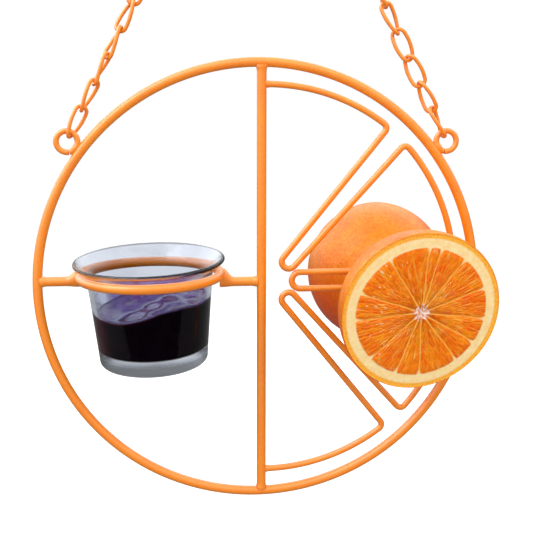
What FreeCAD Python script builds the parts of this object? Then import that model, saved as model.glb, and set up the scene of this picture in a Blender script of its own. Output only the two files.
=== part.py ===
import FreeCAD
import Part
import Sketcher
import math
import os

# Oriole feeder: a hanging wire frame that carries a glass jelly cup and two orange halves.
#
# The frame is a big rod ring with a vertical bar across it. On the left a rod collar holds the
# flared glass cup. On the right one long wire is bent into the picture of a citrus slice, and a
# pointed spike welded across it takes half an orange on each side. Two chains of twisted links
# run from welded eyelets up to one hanging ring.
#
# The origin is where a hook touches the hanging ring, at the inside of its top.
# +Z is up, the frame lies in the XZ plane, and -Y is the side that a person looks at.

V = FreeCAD.Vector
X_AXIS = V(1, 0, 0)
Y_AXIS = V(0, 1, 0)
Z_AXIS = V(0, 0, 1)

doc = FreeCAD.newDocument("OrioleFeeder")

# Driving dimensions in millimetres, angles in degrees

SIZES = [
    ("ring_outer_diameter", 254.0),
    ("rod_diameter", 4.76),
    ("wire_diameter", 3.1),
    ("weld_bite", 0.8),
    ("weld_flare", 0.5),
    ("weld_flare_length", 2.2),
    ("weld_tuck", 0.1),
    ("gusset_length", 5.3),
    ("gusset_radius", 3.3),
    ("spoke_rise", 2.6),
    ("outer_bar_rise", 1.7),
    ("hanger_outer_diameter", 27.1),
    ("eyelet_outer_diameter", 14.6),
    ("eyelet_angle", 37.7),
    ("eyelet_gap_angle", 8.0),
    ("eyelet_gap_direction", -101.0),
    ("link_count", 14),
    ("link_inner_length", 16.0),
    ("link_inner_width", 6.1),
    ("link_crown_inner_radius", 2.35),
    ("link_twist", 60.0),
    ("chain_wire_diameter", 2.1),
    ("link_clearance", 0.3),
    ("collar_off_middle", 0.3),
    ("collar_inner_diameter", 73.0),
    ("collar_rise", 4.4),
    ("collar_lean", 2.0),
    ("cup_rim_overhang", 6.4),
    ("cup_height", 59.5),
    ("cup_base_inset", 4.8),
    ("cup_base_thickness", 7.8),
    ("cup_base_hollow", 1.0),
    ("cup_foot_width", 6.0),
    ("cup_wall", 2.6),
    ("cup_flare_angle", 42.0),
    ("cup_side_clearance", 0.9),
    ("cup_seat_clearance", 0.2),
    ("cup_foot_fillet", 3.0),
    ("cup_neck_fillet", 5.0),
    ("cup_lip_fillet", 1.15),
    ("jelly_depth", 25.0),
    ("jelly_dip", 2.0),
    ("jelly_clearance", 0.05),
    ("slice_inset", 11.6),
    ("slice_arc_inset", 1.1),
    ("slice_arc_shift", 3.8),
    ("slice_arc_drop", 1.7),
    ("lower_side_drop", 4.2),
    ("slice_bend_radius", 3.2),
    ("spoke_wire_spacing", 9.6),
    ("spoke_hairpin_reach", 22.9),
    ("diagonal_hairpin_radius", 4.1),
    ("hairpin_gap", 0.8),
    ("hairpin_direction", 120.6),
    ("diagonal_angle", 49.5),
    ("diagonal_taper", 1.6),
    ("orange_diameter", 86.6),
    ("orange_gap", 8.4),
    ("orange_droop", 6.0),
    ("front_orange_shift", 1.5),
    ("front_orange_drop", 0.7),
    ("rear_orange_shift", 1.7),
    ("rear_orange_rise", 4.3),
    ("spike_inset", 33.6),
    ("spike_length", 70.0),
    ("spike_point_length", 9.0),
    ("spike_sink", 0.3),
]

sizes = doc.addObject("Spreadsheet::Sheet", "Sizes")
for row, (name, number) in enumerate(SIZES, start=1):
    sizes.set("A%d" % row, name)
    sizes.set("B%d" % row, str(number))
    sizes.setAlias("B%d" % row, name)

# Places worked out from the driving dimensions, each as one formula of the second sheet

PLACES = [
    ("ring_radius", "(Sizes.ring_outer_diameter - Sizes.rod_diameter) / 2"),
    ("rod_radius", "Sizes.rod_diameter / 2"),
    ("wire_radius", "Sizes.wire_diameter / 2"),
    ("hanger_radius", "(Sizes.hanger_outer_diameter - Sizes.wire_diameter) / 2"),
    ("hanger_z", "0 - Sizes.hanger_outer_diameter / 2 + Sizes.wire_diameter"),
    ("eyelet_radius", "(Sizes.eyelet_outer_diameter - Sizes.wire_diameter) / 2"),
    ("eyelet_orbit", "(Sizes.ring_outer_diameter + Sizes.eyelet_outer_diameter) / 2"
                     " - Sizes.weld_bite"),
    ("eyelet_x", "eyelet_orbit * cos(Sizes.eyelet_angle)"),
    ("eyelet_rise", "eyelet_orbit * sin(Sizes.eyelet_angle)"),
    # A link's span runs from crown to crown along the middle of its wire.
    ("link_span", "Sizes.link_inner_length + Sizes.chain_wire_diameter"),
    ("link_seat", "Sizes.chain_wire_diameter + Sizes.link_clearance"),
    ("ring_seat", "(Sizes.chain_wire_diameter + Sizes.wire_diameter) / 2"
                  " + Sizes.link_clearance"),
    ("link_pitch", "link_span - link_seat"),
    # Both chains lie on straight lines from the hanging ring's centre to the eyelets' centres.
    ("first_crown", "hanger_radius - ring_seat"),
    ("chain_line", "first_crown + (Sizes.link_count - 1) * link_pitch + link_span"
                   " - ring_seat + eyelet_radius"),
    ("chain_drop", "sqrt(chain_line * chain_line - eyelet_x * eyelet_x)"),
    ("ring_z", "hanger_z - chain_drop - eyelet_rise"),
    ("spoke_z", "ring_z + Sizes.spoke_rise"),
    ("bar_length", "2 * (ring_radius - rod_radius + Sizes.weld_bite)"),
    ("bar_shoulder", "bar_length - Sizes.weld_flare_length"),
    ("flare_radius", "rod_radius + Sizes.weld_flare"),
    ("collar_radius", "Sizes.collar_inner_diameter / 2 + rod_radius"),
    ("outer_bar_z", "spoke_z + Sizes.outer_bar_rise"),
    ("collar_z", "spoke_z + Sizes.collar_rise"),
    # The collar stands midway between the ring and the vertical bar, but for a small shift.
    ("cup_x", "Sizes.collar_off_middle - ring_radius / 2"),
    ("outer_bar_start", "0 - ring_radius + rod_radius - Sizes.weld_bite"),
    ("outer_bar_length", "cup_x - collar_radius - outer_bar_start"),
    ("outer_bar_shoulder", "outer_bar_length - Sizes.weld_flare_length"),
    ("inner_bar_start", "cup_x + collar_radius"),
    ("inner_bar_length", "0 - rod_radius + Sizes.weld_bite - inner_bar_start"),
    ("inner_bar_shoulder", "inner_bar_length - Sizes.weld_flare_length"),
    # The cup leans forward with its collar, about the collar's centre.
    ("cup_y", "collar_z * sin(Sizes.collar_lean)"),
    ("cup_lift", "collar_z - collar_z * cos(Sizes.collar_lean)"),
    # Each gusset weld climbs from its bar halfway to the middle of the collar rod.
    ("outer_gusset_z", "(outer_bar_z + collar_z) / 2"),
    ("inner_gusset_z", "(spoke_z + collar_z) / 2"),
    ("gusset_tip_radius", "rod_radius - Sizes.weld_tuck"),
    ("outer_gusset_end", "cup_x - collar_radius"),
    ("outer_gusset_tip", "outer_gusset_end - rod_radius - Sizes.gusset_length"),
    ("inner_gusset_tip", "inner_bar_start + rod_radius + Sizes.gusset_length"),
    # The flare of the cup lies along the top of the collar rod, one seat clearance away.
    ("seat_distance", "rod_radius + Sizes.cup_seat_clearance"),
    ("seat_r", "collar_radius - seat_distance * cos(Sizes.cup_flare_angle)"),
    ("seat_z", "collar_z + seat_distance * sin(Sizes.cup_flare_angle)"),
    ("neck_r", "Sizes.collar_inner_diameter / 2 - Sizes.cup_side_clearance"),
    ("neck_z", "seat_z - (seat_r - neck_r) / tan(Sizes.cup_flare_angle)"),
    ("rim_r", "Sizes.collar_inner_diameter / 2 + Sizes.cup_rim_overhang"),
    ("rim_z", "seat_z + (rim_r - seat_r) / tan(Sizes.cup_flare_angle)"),
    ("lip_r", "rim_r - Sizes.cup_wall * cos(Sizes.cup_flare_angle)"),
    ("lip_z", "rim_z + Sizes.cup_wall * sin(Sizes.cup_flare_angle)"),
    ("lip_round", "min(Sizes.cup_lip_fillet; 0.45 * Sizes.cup_wall)"),
    ("base_r", "neck_r - Sizes.cup_base_inset"),
    ("base_z", "lip_z - Sizes.cup_height"),
    ("hollow_r", "base_r - Sizes.cup_foot_width"),
    ("hollow_z", "base_z + Sizes.cup_base_hollow"),
    ("floor_z", "base_z + Sizes.cup_base_thickness"),
    # The inside of the wall is parallel to its outside, which leans out by wall_slope.
    ("wall_slope", "(neck_r - base_r) / (neck_z - base_z)"),
    ("wall_shift", "Sizes.cup_wall * sqrt(1 + wall_slope * wall_slope)"),
    ("floor_r", "base_r - wall_shift + wall_slope * (floor_z - base_z)"),
    ("inner_neck_z", "(lip_z - base_z - (lip_r - base_r + wall_shift)"
                     " / tan(Sizes.cup_flare_angle))"
                     " / (1 - wall_slope / tan(Sizes.cup_flare_angle)) + base_z"),
    ("inner_neck_r", "base_r - wall_shift + wall_slope * (inner_neck_z - base_z)"),
    ("jelly_floor_z", "floor_z + Sizes.jelly_clearance"),
    ("jelly_floor_r", "floor_r - Sizes.jelly_clearance"),
    ("jelly_top_z", "jelly_floor_z + Sizes.jelly_depth"),
    ("jelly_top_r", "jelly_floor_r + wall_slope * Sizes.jelly_depth"),
    ("jelly_dip_z", "jelly_top_z - Sizes.jelly_dip"),
    ("slice_radius", "ring_radius - Sizes.slice_inset"),
    # The two long arcs at the bar are a little tighter, and bent about a point to the lower right.
    ("slice_arc_radius", "slice_radius - Sizes.slice_arc_inset"),
    ("wire_flare_radius", "wire_radius + Sizes.weld_flare"),
    ("wire_tip_radius", "wire_radius - Sizes.weld_tuck"),
    # Each diagonal hairpin's nose lies a small gap away from the level hairpin's nose.
    ("nose_distance", "Sizes.diagonal_hairpin_radius + Sizes.spoke_wire_spacing / 2"
                      " + Sizes.wire_diameter + Sizes.hairpin_gap"),
    ("nose_x", "Sizes.spoke_hairpin_reach + nose_distance * cos(Sizes.hairpin_direction)"),
    ("nose_rise", "nose_distance * sin(Sizes.hairpin_direction)"),
    ("spike_x", "slice_radius - Sizes.spike_inset"),
    ("spike_z", "spoke_z - Sizes.spoke_wire_spacing / 2 - wire_radius - rod_radius"
                " + Sizes.spike_sink"),
    ("spike_end", "Sizes.spike_length / 2"),
    ("spike_shoulder", "spike_end - Sizes.spike_point_length"),
    ("spike_low_end", "0 - spike_end"),
    ("spike_low_shoulder", "0 - spike_shoulder"),
    ("orange_r", "Sizes.orange_diameter / 2"),
    ("orange_face_y", "orange_r + Sizes.orange_gap / 2"),
    ("front_orange_x", "spike_x + Sizes.front_orange_shift"),
    ("front_orange_z", "spike_z - Sizes.front_orange_drop"),
    ("rear_orange_x", "spike_x - Sizes.rear_orange_shift"),
    ("rear_orange_z", "spike_z + Sizes.rear_orange_rise"),
]

places = doc.addObject("Spreadsheet::Sheet", "Places")
for row, (name, formula) in enumerate(PLACES, start=1):
    places.set("A%d" % row, name)
    places.set("B%d" % row, "=" + formula)
    places.setAlias("B%d" % row, name)
    doc.recompute()

SIZE_NAMES = [name for name, number in SIZES]


def cell(name):
    """The name of a size or place as an expression writes it."""
    return ("Sizes." if name in SIZE_NAMES else "Places.") + name


def value(name):
    """The number that a size or place holds."""
    if name in SIZE_NAMES:
        return float(sizes.get(name))
    return float(places.get(name))


def bind(thing, **expressions):
    """Ties properties of an object to cells: the property's name, then the cell's name."""
    for prop, name in expressions.items():
        thing.setExpression(prop.replace("__", "."), cell(name))


def upright(thing, turn=0.0):
    """Stands an object that was made in the XY plane up in the XZ plane."""
    lift = FreeCAD.Rotation(X_AXIS, 90) * FreeCAD.Rotation(Z_AXIS, turn)
    thing.Placement = FreeCAD.Placement(V(0, 0, 0), lift)


# Helpers for the turned pieces

def origin_plane(body, role):
    """One of a body's own origin planes, found by its role."""
    for feature in body.Origin.OriginFeatures:
        if feature.Role == role:
            return feature


def draw_outline(body, name, corners):
    """A closed outline of straight lines on the body's XZ plane.

    Each corner is a pair of names: how far it is from the axis, and its height. None is zero.
    """
    sketch = body.newObject("Sketcher::SketchObject", name)
    sketch.AttachmentSupport = (origin_plane(body, "XZ_Plane"), "")
    sketch.MapMode = "FlatFace"
    points = []
    for across, height in corners:
        x = 0.0 if across is None else value(across)
        y = 0.0 if height is None else value(height)
        points.append(V(x, y, 0))
    count = len(points)
    for i in range(count):
        sketch.addGeometry(Part.LineSegment(points[i], points[(i + 1) % count]))
    for i in range(count):
        sketch.addConstraint(Sketcher.Constraint("Coincident", i, 2, (i + 1) % count, 1))
    for i, (across, height) in enumerate(corners):
        pin_down(sketch, "DistanceX", i, across, points[i].x)
        pin_down(sketch, "DistanceY", i, height, points[i].y)
    return sketch


def pin_down(sketch, direction, line, name, distance):
    """Fixes the start of a line at a cell's distance from the sketch's origin."""
    if name is None:
        axis = -2 if direction == "DistanceX" else -1
        sketch.addConstraint(Sketcher.Constraint("PointOnObject", line, 1, axis))
        return
    rule = Sketcher.Constraint(direction, -1, 1, line, 1, distance)
    index = sketch.addConstraint(rule)
    sketch.setExpression("Constraints[%d]" % index, cell(name))


def turned_body(label, corners):
    """A body turned about its Z axis from an outline."""
    body = doc.addObject("PartDesign::Body", label)
    sketch = draw_outline(body, label + "_outline", corners)
    turn = body.newObject("PartDesign::Revolution", label + "_turn")
    turn.Profile = sketch
    turn.ReferenceAxis = (sketch, ["V_Axis"])
    turn.Angle = 360
    doc.recompute()
    return body


def round_edges(body, radius_name, circles):
    """Rounds the circular edges of a turned body that have these radii and heights."""
    base = body.Tip
    found = []
    for number, edge in enumerate(base.Shape.Edges, start=1):
        if not isinstance(edge.Curve, Part.Circle):
            continue
        for radius, height in circles:
            same_radius = abs(edge.Curve.Radius - value(radius)) < 0.001
            same_height = abs(edge.Curve.Center.z - value(height)) < 0.001
            if same_radius and same_height:
                found.append("Edge%d" % number)
    fillet = body.newObject("PartDesign::Fillet", body.Name + "_" + radius_name)
    fillet.Base = (base, found)
    bind(fillet, Radius=radius_name)
    body.Tip = fillet
    doc.recompute()


def torus(name, big, small):
    """A round rod bent to a full circle, centre line radius and rod radius from two cells."""
    ring = doc.addObject("Part::Torus", name)
    ring.Label = name
    bind(ring, Radius1=big, Radius2=small)
    return ring


def joined(label, pieces):
    """Pieces that a weld makes one."""
    result = pieces[0]
    for number, piece in enumerate(pieces[1:], start=1):
        fuse = doc.addObject("Part::Fuse", "%s_weld_%d" % (label, number))
        fuse.Base = result
        fuse.Tool = piece
        result = fuse
    return result


def cut_away(label, base, tools):
    """The base with each tool taken out of it, so that it meets the tools face to face."""
    result = base
    for number, tool in enumerate(tools, start=1):
        cut = doc.addObject("Part::Cut", "%s_cut_%d" % (label, number))
        cut.Base = result
        cut.Tool = tool
        result = cut
    doc.recompute()
    result.Label = label
    return result


def move_to(thing, x=None, y=None, z=None):
    """Ties the place of an object to cells."""
    for letter, name in (("x", x), ("y", y), ("z", z)):
        if name is not None:
            thing.setExpression("Placement.Base." + letter, cell(name))


parts = []

# Hanging ring

hanging_ring = torus("hanging_ring", "hanger_radius", "wire_radius")
upright(hanging_ring)
move_to(hanging_ring, z="hanger_z")
parts.append(hanging_ring)

# Main ring

main_ring = torus("main_ring", "ring_radius", "rod_radius")
upright(main_ring)
move_to(main_ring, z="ring_z")
parts.append(main_ring)


# Bars, with the small flare of the weld at each end

def flared_bar(label, shoulder_name, length_name):
    """A rod along its own Z axis, thicker over a short cone at both welded ends."""
    return turned_body(label, [
        (None, None),
        ("flare_radius", None),
        ("rod_radius", "weld_flare_length"),
        ("rod_radius", shoulder_name),
        ("flare_radius", length_name),
        (None, length_name),
    ])


vertical_rod = flared_bar("vertical_rod", "bar_shoulder", "bar_length")
vertical_rod.setExpression("Placement.Base.z", "Places.ring_z - Places.bar_length / 2")
doc.recompute()
parts.append(cut_away("vertical_bar", vertical_rod, [main_ring]))

# Cup collar

LEAN_FORWARD = FreeCAD.Placement(V(0, 0, 0), FreeCAD.Rotation(X_AXIS, value("collar_lean")))

cup_collar = torus("cup_collar", "collar_radius", "rod_radius")
cup_collar.Placement = LEAN_FORWARD
move_to(cup_collar, x="cup_x", z="collar_z")
parts.append(cup_collar)

LIE_ALONG_X = FreeCAD.Placement(V(0, 0, 0), FreeCAD.Rotation(Y_AXIS, 90))


def circle_across(name, radius, x, z):
    """A circle square to the X axis."""
    circle = doc.addObject("Part::Circle", name)
    bind(circle, Radius=radius)
    circle.Placement = LIE_ALONG_X
    move_to(circle, x=x, z=z)
    return circle


def gusset(label, tip_x, tip_z, collar_x, seat_z):
    """The weld in the corner between a bar and the collar above it: a cone that leans up."""
    weld = doc.addObject("Part::Loft", label)
    weld.Sections = [
        circle_across(label + "_tip", "gusset_tip_radius", tip_x, tip_z),
        circle_across(label + "_seat", "gusset_radius", collar_x, seat_z),
    ]
    weld.Solid = True
    weld.Ruled = True
    return weld


outer_rod = flared_bar("outer_rod", "outer_bar_shoulder", "outer_bar_length")
outer_rod.Placement = LIE_ALONG_X
move_to(outer_rod, x="outer_bar_start", z="outer_bar_z")
outer_gusset = gusset("outer_gusset", "outer_gusset_tip", "outer_bar_z",
                      "outer_gusset_end", "outer_gusset_z")
outer_welded = joined("outer_bar", [outer_rod, outer_gusset])
parts.append(cut_away("outer_bar", outer_welded, [main_ring, cup_collar]))

inner_rod = flared_bar("inner_rod", "inner_bar_shoulder", "inner_bar_length")
inner_rod.Placement = LIE_ALONG_X
move_to(inner_rod, x="inner_bar_start", z="spoke_z")
inner_gusset = gusset("inner_gusset", "inner_gusset_tip", "spoke_z",
                      "inner_bar_start", "inner_gusset_z")
inner_welded = joined("inner_bar", [inner_rod, inner_gusset])
parts.append(cut_away("inner_bar", inner_welded, [cup_collar, vertical_rod]))

# Glass cup: thick base, leaning wall, and a flare that hangs on the collar

glass_cup = turned_body("glass_cup", [
    (None, "hollow_z"),
    ("hollow_r", "base_z"),
    ("base_r", "base_z"),
    ("neck_r", "neck_z"),
    ("rim_r", "rim_z"),
    ("lip_r", "lip_z"),
    ("inner_neck_r", "inner_neck_z"),
    ("floor_r", "floor_z"),
    (None, "floor_z"),
])
round_edges(glass_cup, "cup_foot_fillet", [("base_r", "base_z"), ("floor_r", "floor_z")])
round_edges(glass_cup, "cup_neck_fillet", [("neck_r", "neck_z"),
                                           ("inner_neck_r", "inner_neck_z")])
round_edges(glass_cup, "lip_round", [("rim_r", "rim_z"), ("lip_r", "lip_z")])
glass_cup.Placement = LEAN_FORWARD
move_to(glass_cup, x="cup_x", y="cup_y", z="cup_lift")
parts.append(glass_cup)

# Jelly that fills the lower half of the cup, a little lower in the middle

grape_jelly = turned_body("grape_jelly", [
    (None, "jelly_floor_z"),
    ("jelly_floor_r", "jelly_floor_z"),
    ("jelly_top_r", "jelly_top_z"),
    (None, "jelly_dip_z"),
])
round_edges(grape_jelly, "cup_foot_fillet", [("jelly_floor_r", "jelly_floor_z")])
grape_jelly.Placement = LEAN_FORWARD
move_to(grape_jelly, x="cup_x", y="cup_y", z="cup_lift")
parts.append(grape_jelly)


# Eyelets on the ring's shoulders, each a bent wire whose ends almost meet

def eyelet(label, side):
    """One welded eyelet: side is 1 on the right and -1 on the left."""
    ring = torus(label + "_wire", "eyelet_radius", "wire_radius")
    gap = value("eyelet_gap_angle")
    middle = value("eyelet_gap_direction")
    if side < 0:
        middle = 180 - middle
    upright(ring, middle + gap / 2)
    ring.setExpression("Angle3", "360 - Sizes.eyelet_gap_angle")
    ring.setExpression("Placement.Base.x", "%d * Places.eyelet_x" % side)
    ring.setExpression("Placement.Base.z", "Places.ring_z + Places.eyelet_rise")
    doc.recompute()
    return cut_away(label, ring, [main_ring])


parts.append(eyelet("left_eyelet", -1))
parts.append(eyelet("right_eyelet", 1))


# Citrus slice: one wire of straight runs and tangent arcs

def polar(radius, degrees):
    """The vector of this length at this angle from +X towards +Z."""
    angle = math.radians(degrees)
    return V(radius * math.cos(angle), 0, radius * math.sin(angle))


def corner_at_rim(point, degrees, before, middle, big):
    """The bend between one of the slice's big arcs and a straight run.

    The run passes through the point at the given angle. The bend touches the big arc from
    inside and the run, on its anticlockwise side if before is true. Returns the bend's centre,
    its touching point on the big arc and its touching point on the run.
    """
    bend = value("slice_bend_radius")
    along = polar(1, degrees)
    across = polar(1, degrees + 90) if before else polar(1, degrees - 90)
    start = point + across * bend - middle
    # The centre lies on the run moved sideways by the bend, and big - bend from the middle.
    half = start.dot(along)
    reach = -half + math.sqrt(half * half - start.dot(start) + (big - bend) ** 2)
    outward = start + along * reach
    centre = middle + outward
    on_arc = middle + V(outward).normalize() * big
    return centre, on_arc, centre - across * bend


def slice_half_edges(half):
    """Half of the slice's middle line, from the vertical bar to the level hairpin's nose.

    The half is 1 for the upper half and -1 for the lower one, which is made upside down.
    """
    long_middle = V(value("slice_arc_shift"), 0, -half * value("slice_arc_drop"))
    long_radius = value("slice_arc_radius")
    side_middle = V(0, 0, 0 if half > 0 else value("lower_side_drop"))
    side_radius = value("slice_radius")
    nose_radius = value("diagonal_hairpin_radius")
    nose = V(value("nose_x"), 0, value("nose_rise"))
    steep = value("diagonal_angle") + value("diagonal_taper")
    shallow = value("diagonal_angle") - value("diagonal_taper")
    edges = []

    # Top arc, from inside the vertical bar to the first bend
    start_x = value("rod_radius") - value("weld_bite")
    start_from_middle = start_x - long_middle.x
    start_rise = long_middle.z + math.sqrt(long_radius ** 2 - start_from_middle ** 2)
    start = V(start_x, 0, start_rise)
    left_touch = nose + polar(nose_radius, steep + 90)
    centre, on_arc, on_run = corner_at_rim(left_touch, steep, True, long_middle, long_radius)
    edges.append(arc_about(long_middle, start, on_arc))
    edges.append(arc_about(centre, on_arc, on_run))
    edges.append(Part.LineSegment(on_run, left_touch).toShape())

    # Round the nose of the diagonal hairpin and out again to the second bend
    right_touch = nose + polar(nose_radius, shallow - 90)
    back = nose - polar(nose_radius, value("diagonal_angle"))
    edges.append(Part.Arc(left_touch, back, right_touch).toShape())
    centre, on_arc_2, on_run = corner_at_rim(right_touch, shallow, False, side_middle, side_radius)
    edges.append(Part.LineSegment(right_touch, on_run).toShape())
    edges.append(arc_about(centre, on_run, on_arc_2))

    # Side arc down to the third bend, then the upper wire of the level hairpin
    half_gap = value("spoke_wire_spacing") / 2
    level_touch = V(value("spoke_hairpin_reach"), 0, half_gap)
    centre, on_arc_3, on_run = corner_at_rim(level_touch, 0, True, side_middle, side_radius)
    edges.append(arc_about(side_middle, on_arc_2, on_arc_3))
    edges.append(arc_about(centre, on_arc_3, on_run))
    edges.append(Part.LineSegment(on_run, level_touch).toShape())
    quarter = level_touch + V(-half_gap, 0, -half_gap)
    edges.append(arc_about(level_touch - V(0, 0, half_gap), level_touch, quarter))
    return edges


def arc_about(centre, start, end):
    """The shorter arc about a centre from one point to another."""
    first = (start - centre)
    last = (end - centre)
    middle = (first + last).normalize() * first.Length
    return Part.Arc(start, centre + middle, end).toShape()


def swept_wire(edges, radius):
    """A round wire along edges that follow one another without a kink."""
    path = Part.Wire(edges)
    first = path.OrderedEdges[0]
    begin = first.valueAt(first.FirstParameter)
    direction = first.tangentAt(first.FirstParameter)
    if (begin - path.OrderedVertexes[0].Point).Length > 0.001:
        begin = first.valueAt(first.LastParameter)
        direction = first.tangentAt(first.LastParameter)
    circle = Part.Wire(Part.Circle(begin, direction, radius).toShape())
    return path.makePipeShell([circle], True, False)


upper_edges = slice_half_edges(1)
lower_edges = [edge.mirror(V(0, 0, 0), Z_AXIS) for edge in reversed(slice_half_edges(-1))]
slice_shape = swept_wire(upper_edges + lower_edges, value("wire_radius"))
slice_length = sum(edge.Length for edge in upper_edges + lower_edges)
slice_section = math.pi * value("wire_radius") ** 2
print("citrus wire is %.0f mm long, swept volume over section times length is %.4f"
      % (slice_length, slice_shape.Volume / (slice_section * slice_length)))
slice_wire = doc.addObject("Part::Feature", "slice_wire")
slice_wire.Shape = slice_shape
slice_wire.Placement = FreeCAD.Placement(V(0, 0, value("spoke_z")), FreeCAD.Rotation())

slice_ends = []
for name, edge in (("upper_wire_flare", upper_edges[0]), ("lower_wire_flare", lower_edges[-1])):
    flare = doc.addObject("Part::Cone", name)
    bind(flare, Radius1="wire_flare_radius", Radius2="wire_tip_radius", Height="weld_flare_length")
    end = min((vertex.Point for vertex in edge.Vertexes), key=lambda point: point.x)
    flare.Placement = FreeCAD.Placement(end + V(0, 0, value("spoke_z")), LIE_ALONG_X.Rotation)
    slice_ends.append(flare)
slice_welded = joined("citrus_wire", [slice_wire] + slice_ends)
parts.append(cut_away("citrus_wire", slice_welded, [vertical_rod]))

# Fruit spike: a rod pointed at both ends, welded under the lower level wire

spike_rod = turned_body("spike_rod", [
    (None, "spike_low_end"),
    ("rod_radius", "spike_low_shoulder"),
    ("rod_radius", "spike_shoulder"),
    (None, "spike_end"),
])
upright(spike_rod)
move_to(spike_rod, x="spike_x", z="spike_z")
doc.recompute()
parts.append(cut_away("fruit_spike", spike_rod, [slice_wire]))


# Orange halves, pushed onto the spike with their domes towards the wires

def orange_half(label, side, x, z):
    """Half an orange whose face droops: side is -1 in front of the frame and 1 behind it."""
    half = doc.addObject("Part::Sphere", label + "_fruit")
    bind(half, Radius="orange_r")
    half.Angle1 = 0
    half.Angle2 = 90
    turn = FreeCAD.Rotation(X_AXIS, side * (90 - value("orange_droop")))
    half.Placement = FreeCAD.Placement(V(0, 0, 0), turn)
    half.setExpression("Placement.Base.y", "%d * Places.orange_face_y" % side)
    move_to(half, x=x, z=z)
    doc.recompute()
    return cut_away(label, half, [spike_rod])


parts.append(orange_half("front_orange_half", -1, "front_orange_x", "front_orange_z"))
parts.append(orange_half("rear_orange_half", 1, "rear_orange_x", "rear_orange_z"))


# Chains of twisted links

# Roll of each link that shows, from the eyelet up: the angle from the plane of the frame to the
# link's widest part. Above them the roll goes on evenly to a top crown square to the frame.
SEEN_ROLLS = {-1: [52, 69, 87, 108, 126], 1: [70, 120, 150, 180, 220]}
TOP_ROLLS = {-1: 300, 1: 480}


def link_roll(side, steps_up):
    """The roll in degrees of the link that is steps_up links above the eyelet's own link."""
    seen = SEEN_ROLLS[side]
    if steps_up < len(seen):
        return seen[steps_up]
    last = round(value("link_count")) - 1
    share = (steps_up - len(seen) + 1) / (last - len(seen) + 1)
    return seen[-1] + share * (TOP_ROLLS[side] - seen[-1])


def link_corners(crown, belly, half, half_twist):
    """Where the upper corner and the middle corner of a link's side stand before rounding.

    The corner at the crown is rounded by the crown radius and starts on the axis. The corner at
    the middle is rounded widely, and its arc passes the axis at the belly's distance. Returns the
    upper corner, the middle corner, and how far the wide arc reaches to each side of its corner.
    """
    out = crown
    middle = belly
    for repeat in range(60):
        upper = V(out * math.cos(half_twist), -out * math.sin(half_twist), half)
        lower = V(upper.x, -upper.y, -half)
        corner = V(middle, 0, 0)
        down = (corner - upper).normalize()
        onward = (lower - corner).normalize()
        arrive = V(upper.x, upper.y, 0).normalize()
        out = crown * math.tan(math.acos(arrive.dot(down)) / 2)
        reach = 0.9 * ((corner - upper).Length - out)
        half_turn = math.acos(down.dot(onward)) / 2
        middle = belly + reach * math.tan(half_turn / 2)
    return upper, corner, reach


def rounded_corner(before, corner, after, reach):
    """The arc that touches both sides of a corner at this distance from it."""
    toward = (before - corner).normalize()
    away = (after - corner).normalize()
    half_angle = toward.getAngle(away) / 2
    centre = corner + (toward + away).normalize() * (reach / math.cos(half_angle))
    return arc_about(centre, corner + toward * reach, corner + away * reach)


def link_shape():
    """A twisted link about the Z axis, its middle at the origin and its widest part along X.

    Each side of the link runs from the top crown to the bottom crown over three rounded corners.
    The bottom crown is turned from the top one, so each side winds round the axis.
    """
    thick = value("chain_wire_diameter") / 2
    crown = value("link_crown_inner_radius") + thick
    belly = value("link_inner_width") / 2 + thick
    half = value("link_span") / 2
    half_twist = math.radians(value("link_twist") / 2)
    upper, corner, reach = link_corners(crown, belly, half, half_twist)
    lower = V(upper.x, -upper.y, -half)
    top = V(0, 0, half)
    bottom = V(0, 0, -half)
    near = (upper - top).Length
    high_arc = rounded_corner(top, upper, corner, near)
    wide_arc = rounded_corner(upper, corner, lower, reach)
    low_arc = rounded_corner(corner, lower, bottom, near)
    high_end = upper + (corner - upper).normalize() * near
    wide_start = corner + (upper - corner).normalize() * reach
    wide_end = corner + (lower - corner).normalize() * reach
    low_start = lower + (corner - lower).normalize() * near
    edges = [
        high_arc,
        Part.LineSegment(high_end, wide_start).toShape(),
        wide_arc,
        Part.LineSegment(wide_end, low_start).toShape(),
        low_arc,
    ]
    one_side = swept_wire(edges, thick)
    other_side = one_side.copy()
    other_side.rotate(V(0, 0, 0), Z_AXIS, 180)
    return one_side.fuse(other_side)


def add_chain(name, side):
    """The links of one chain, counted from the hanging ring down."""
    count = round(value("link_count"))
    lean = math.degrees(math.asin(value("eyelet_x") / value("chain_line")))
    towards = V(side * value("eyelet_x"), 0, -value("chain_drop")) / value("chain_line")
    hang = V(0, 0, value("hanger_z"))
    shape = link_shape()
    for number in range(count):
        along = value("first_crown") + number * value("link_pitch") + value("link_span") / 2
        roll = link_roll(side, count - 1 - number)
        turn = FreeCAD.Rotation(Y_AXIS, -side * lean) * FreeCAD.Rotation(Z_AXIS, roll)
        link = doc.addObject("Part::Feature", "%s_link_%02d" % (name, number + 1))
        link.Label = "%s_link_%02d" % (name, number + 1)
        link.Shape = shape
        link.Placement = FreeCAD.Placement(hang + towards * along, turn)
        parts.append(link)


add_chain("chain_left", -1)
add_chain("chain_right", 1)

# Checks and files

doc.recompute()
for thing in doc.Objects:
    faults = [word for word in thing.State if word in ("Invalid", "Error")]
    if faults:
        raise RuntimeError("%s did not build: %s" % (thing.Name, faults))
for part in parts:
    if part.Shape.isNull() or not part.Shape.isValid():
        raise RuntimeError("%s has no valid shape" % part.Label)

os.makedirs("parts", exist_ok=True)
for part in parts:
    part.Shape.exportStep("parts/%s.step" % part.Label)
    print("%-22s %8.1f mm3, %d solid" % (part.Label, part.Shape.Volume, len(part.Shape.Solids)))
print("%d pieces" % len(parts))
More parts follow.
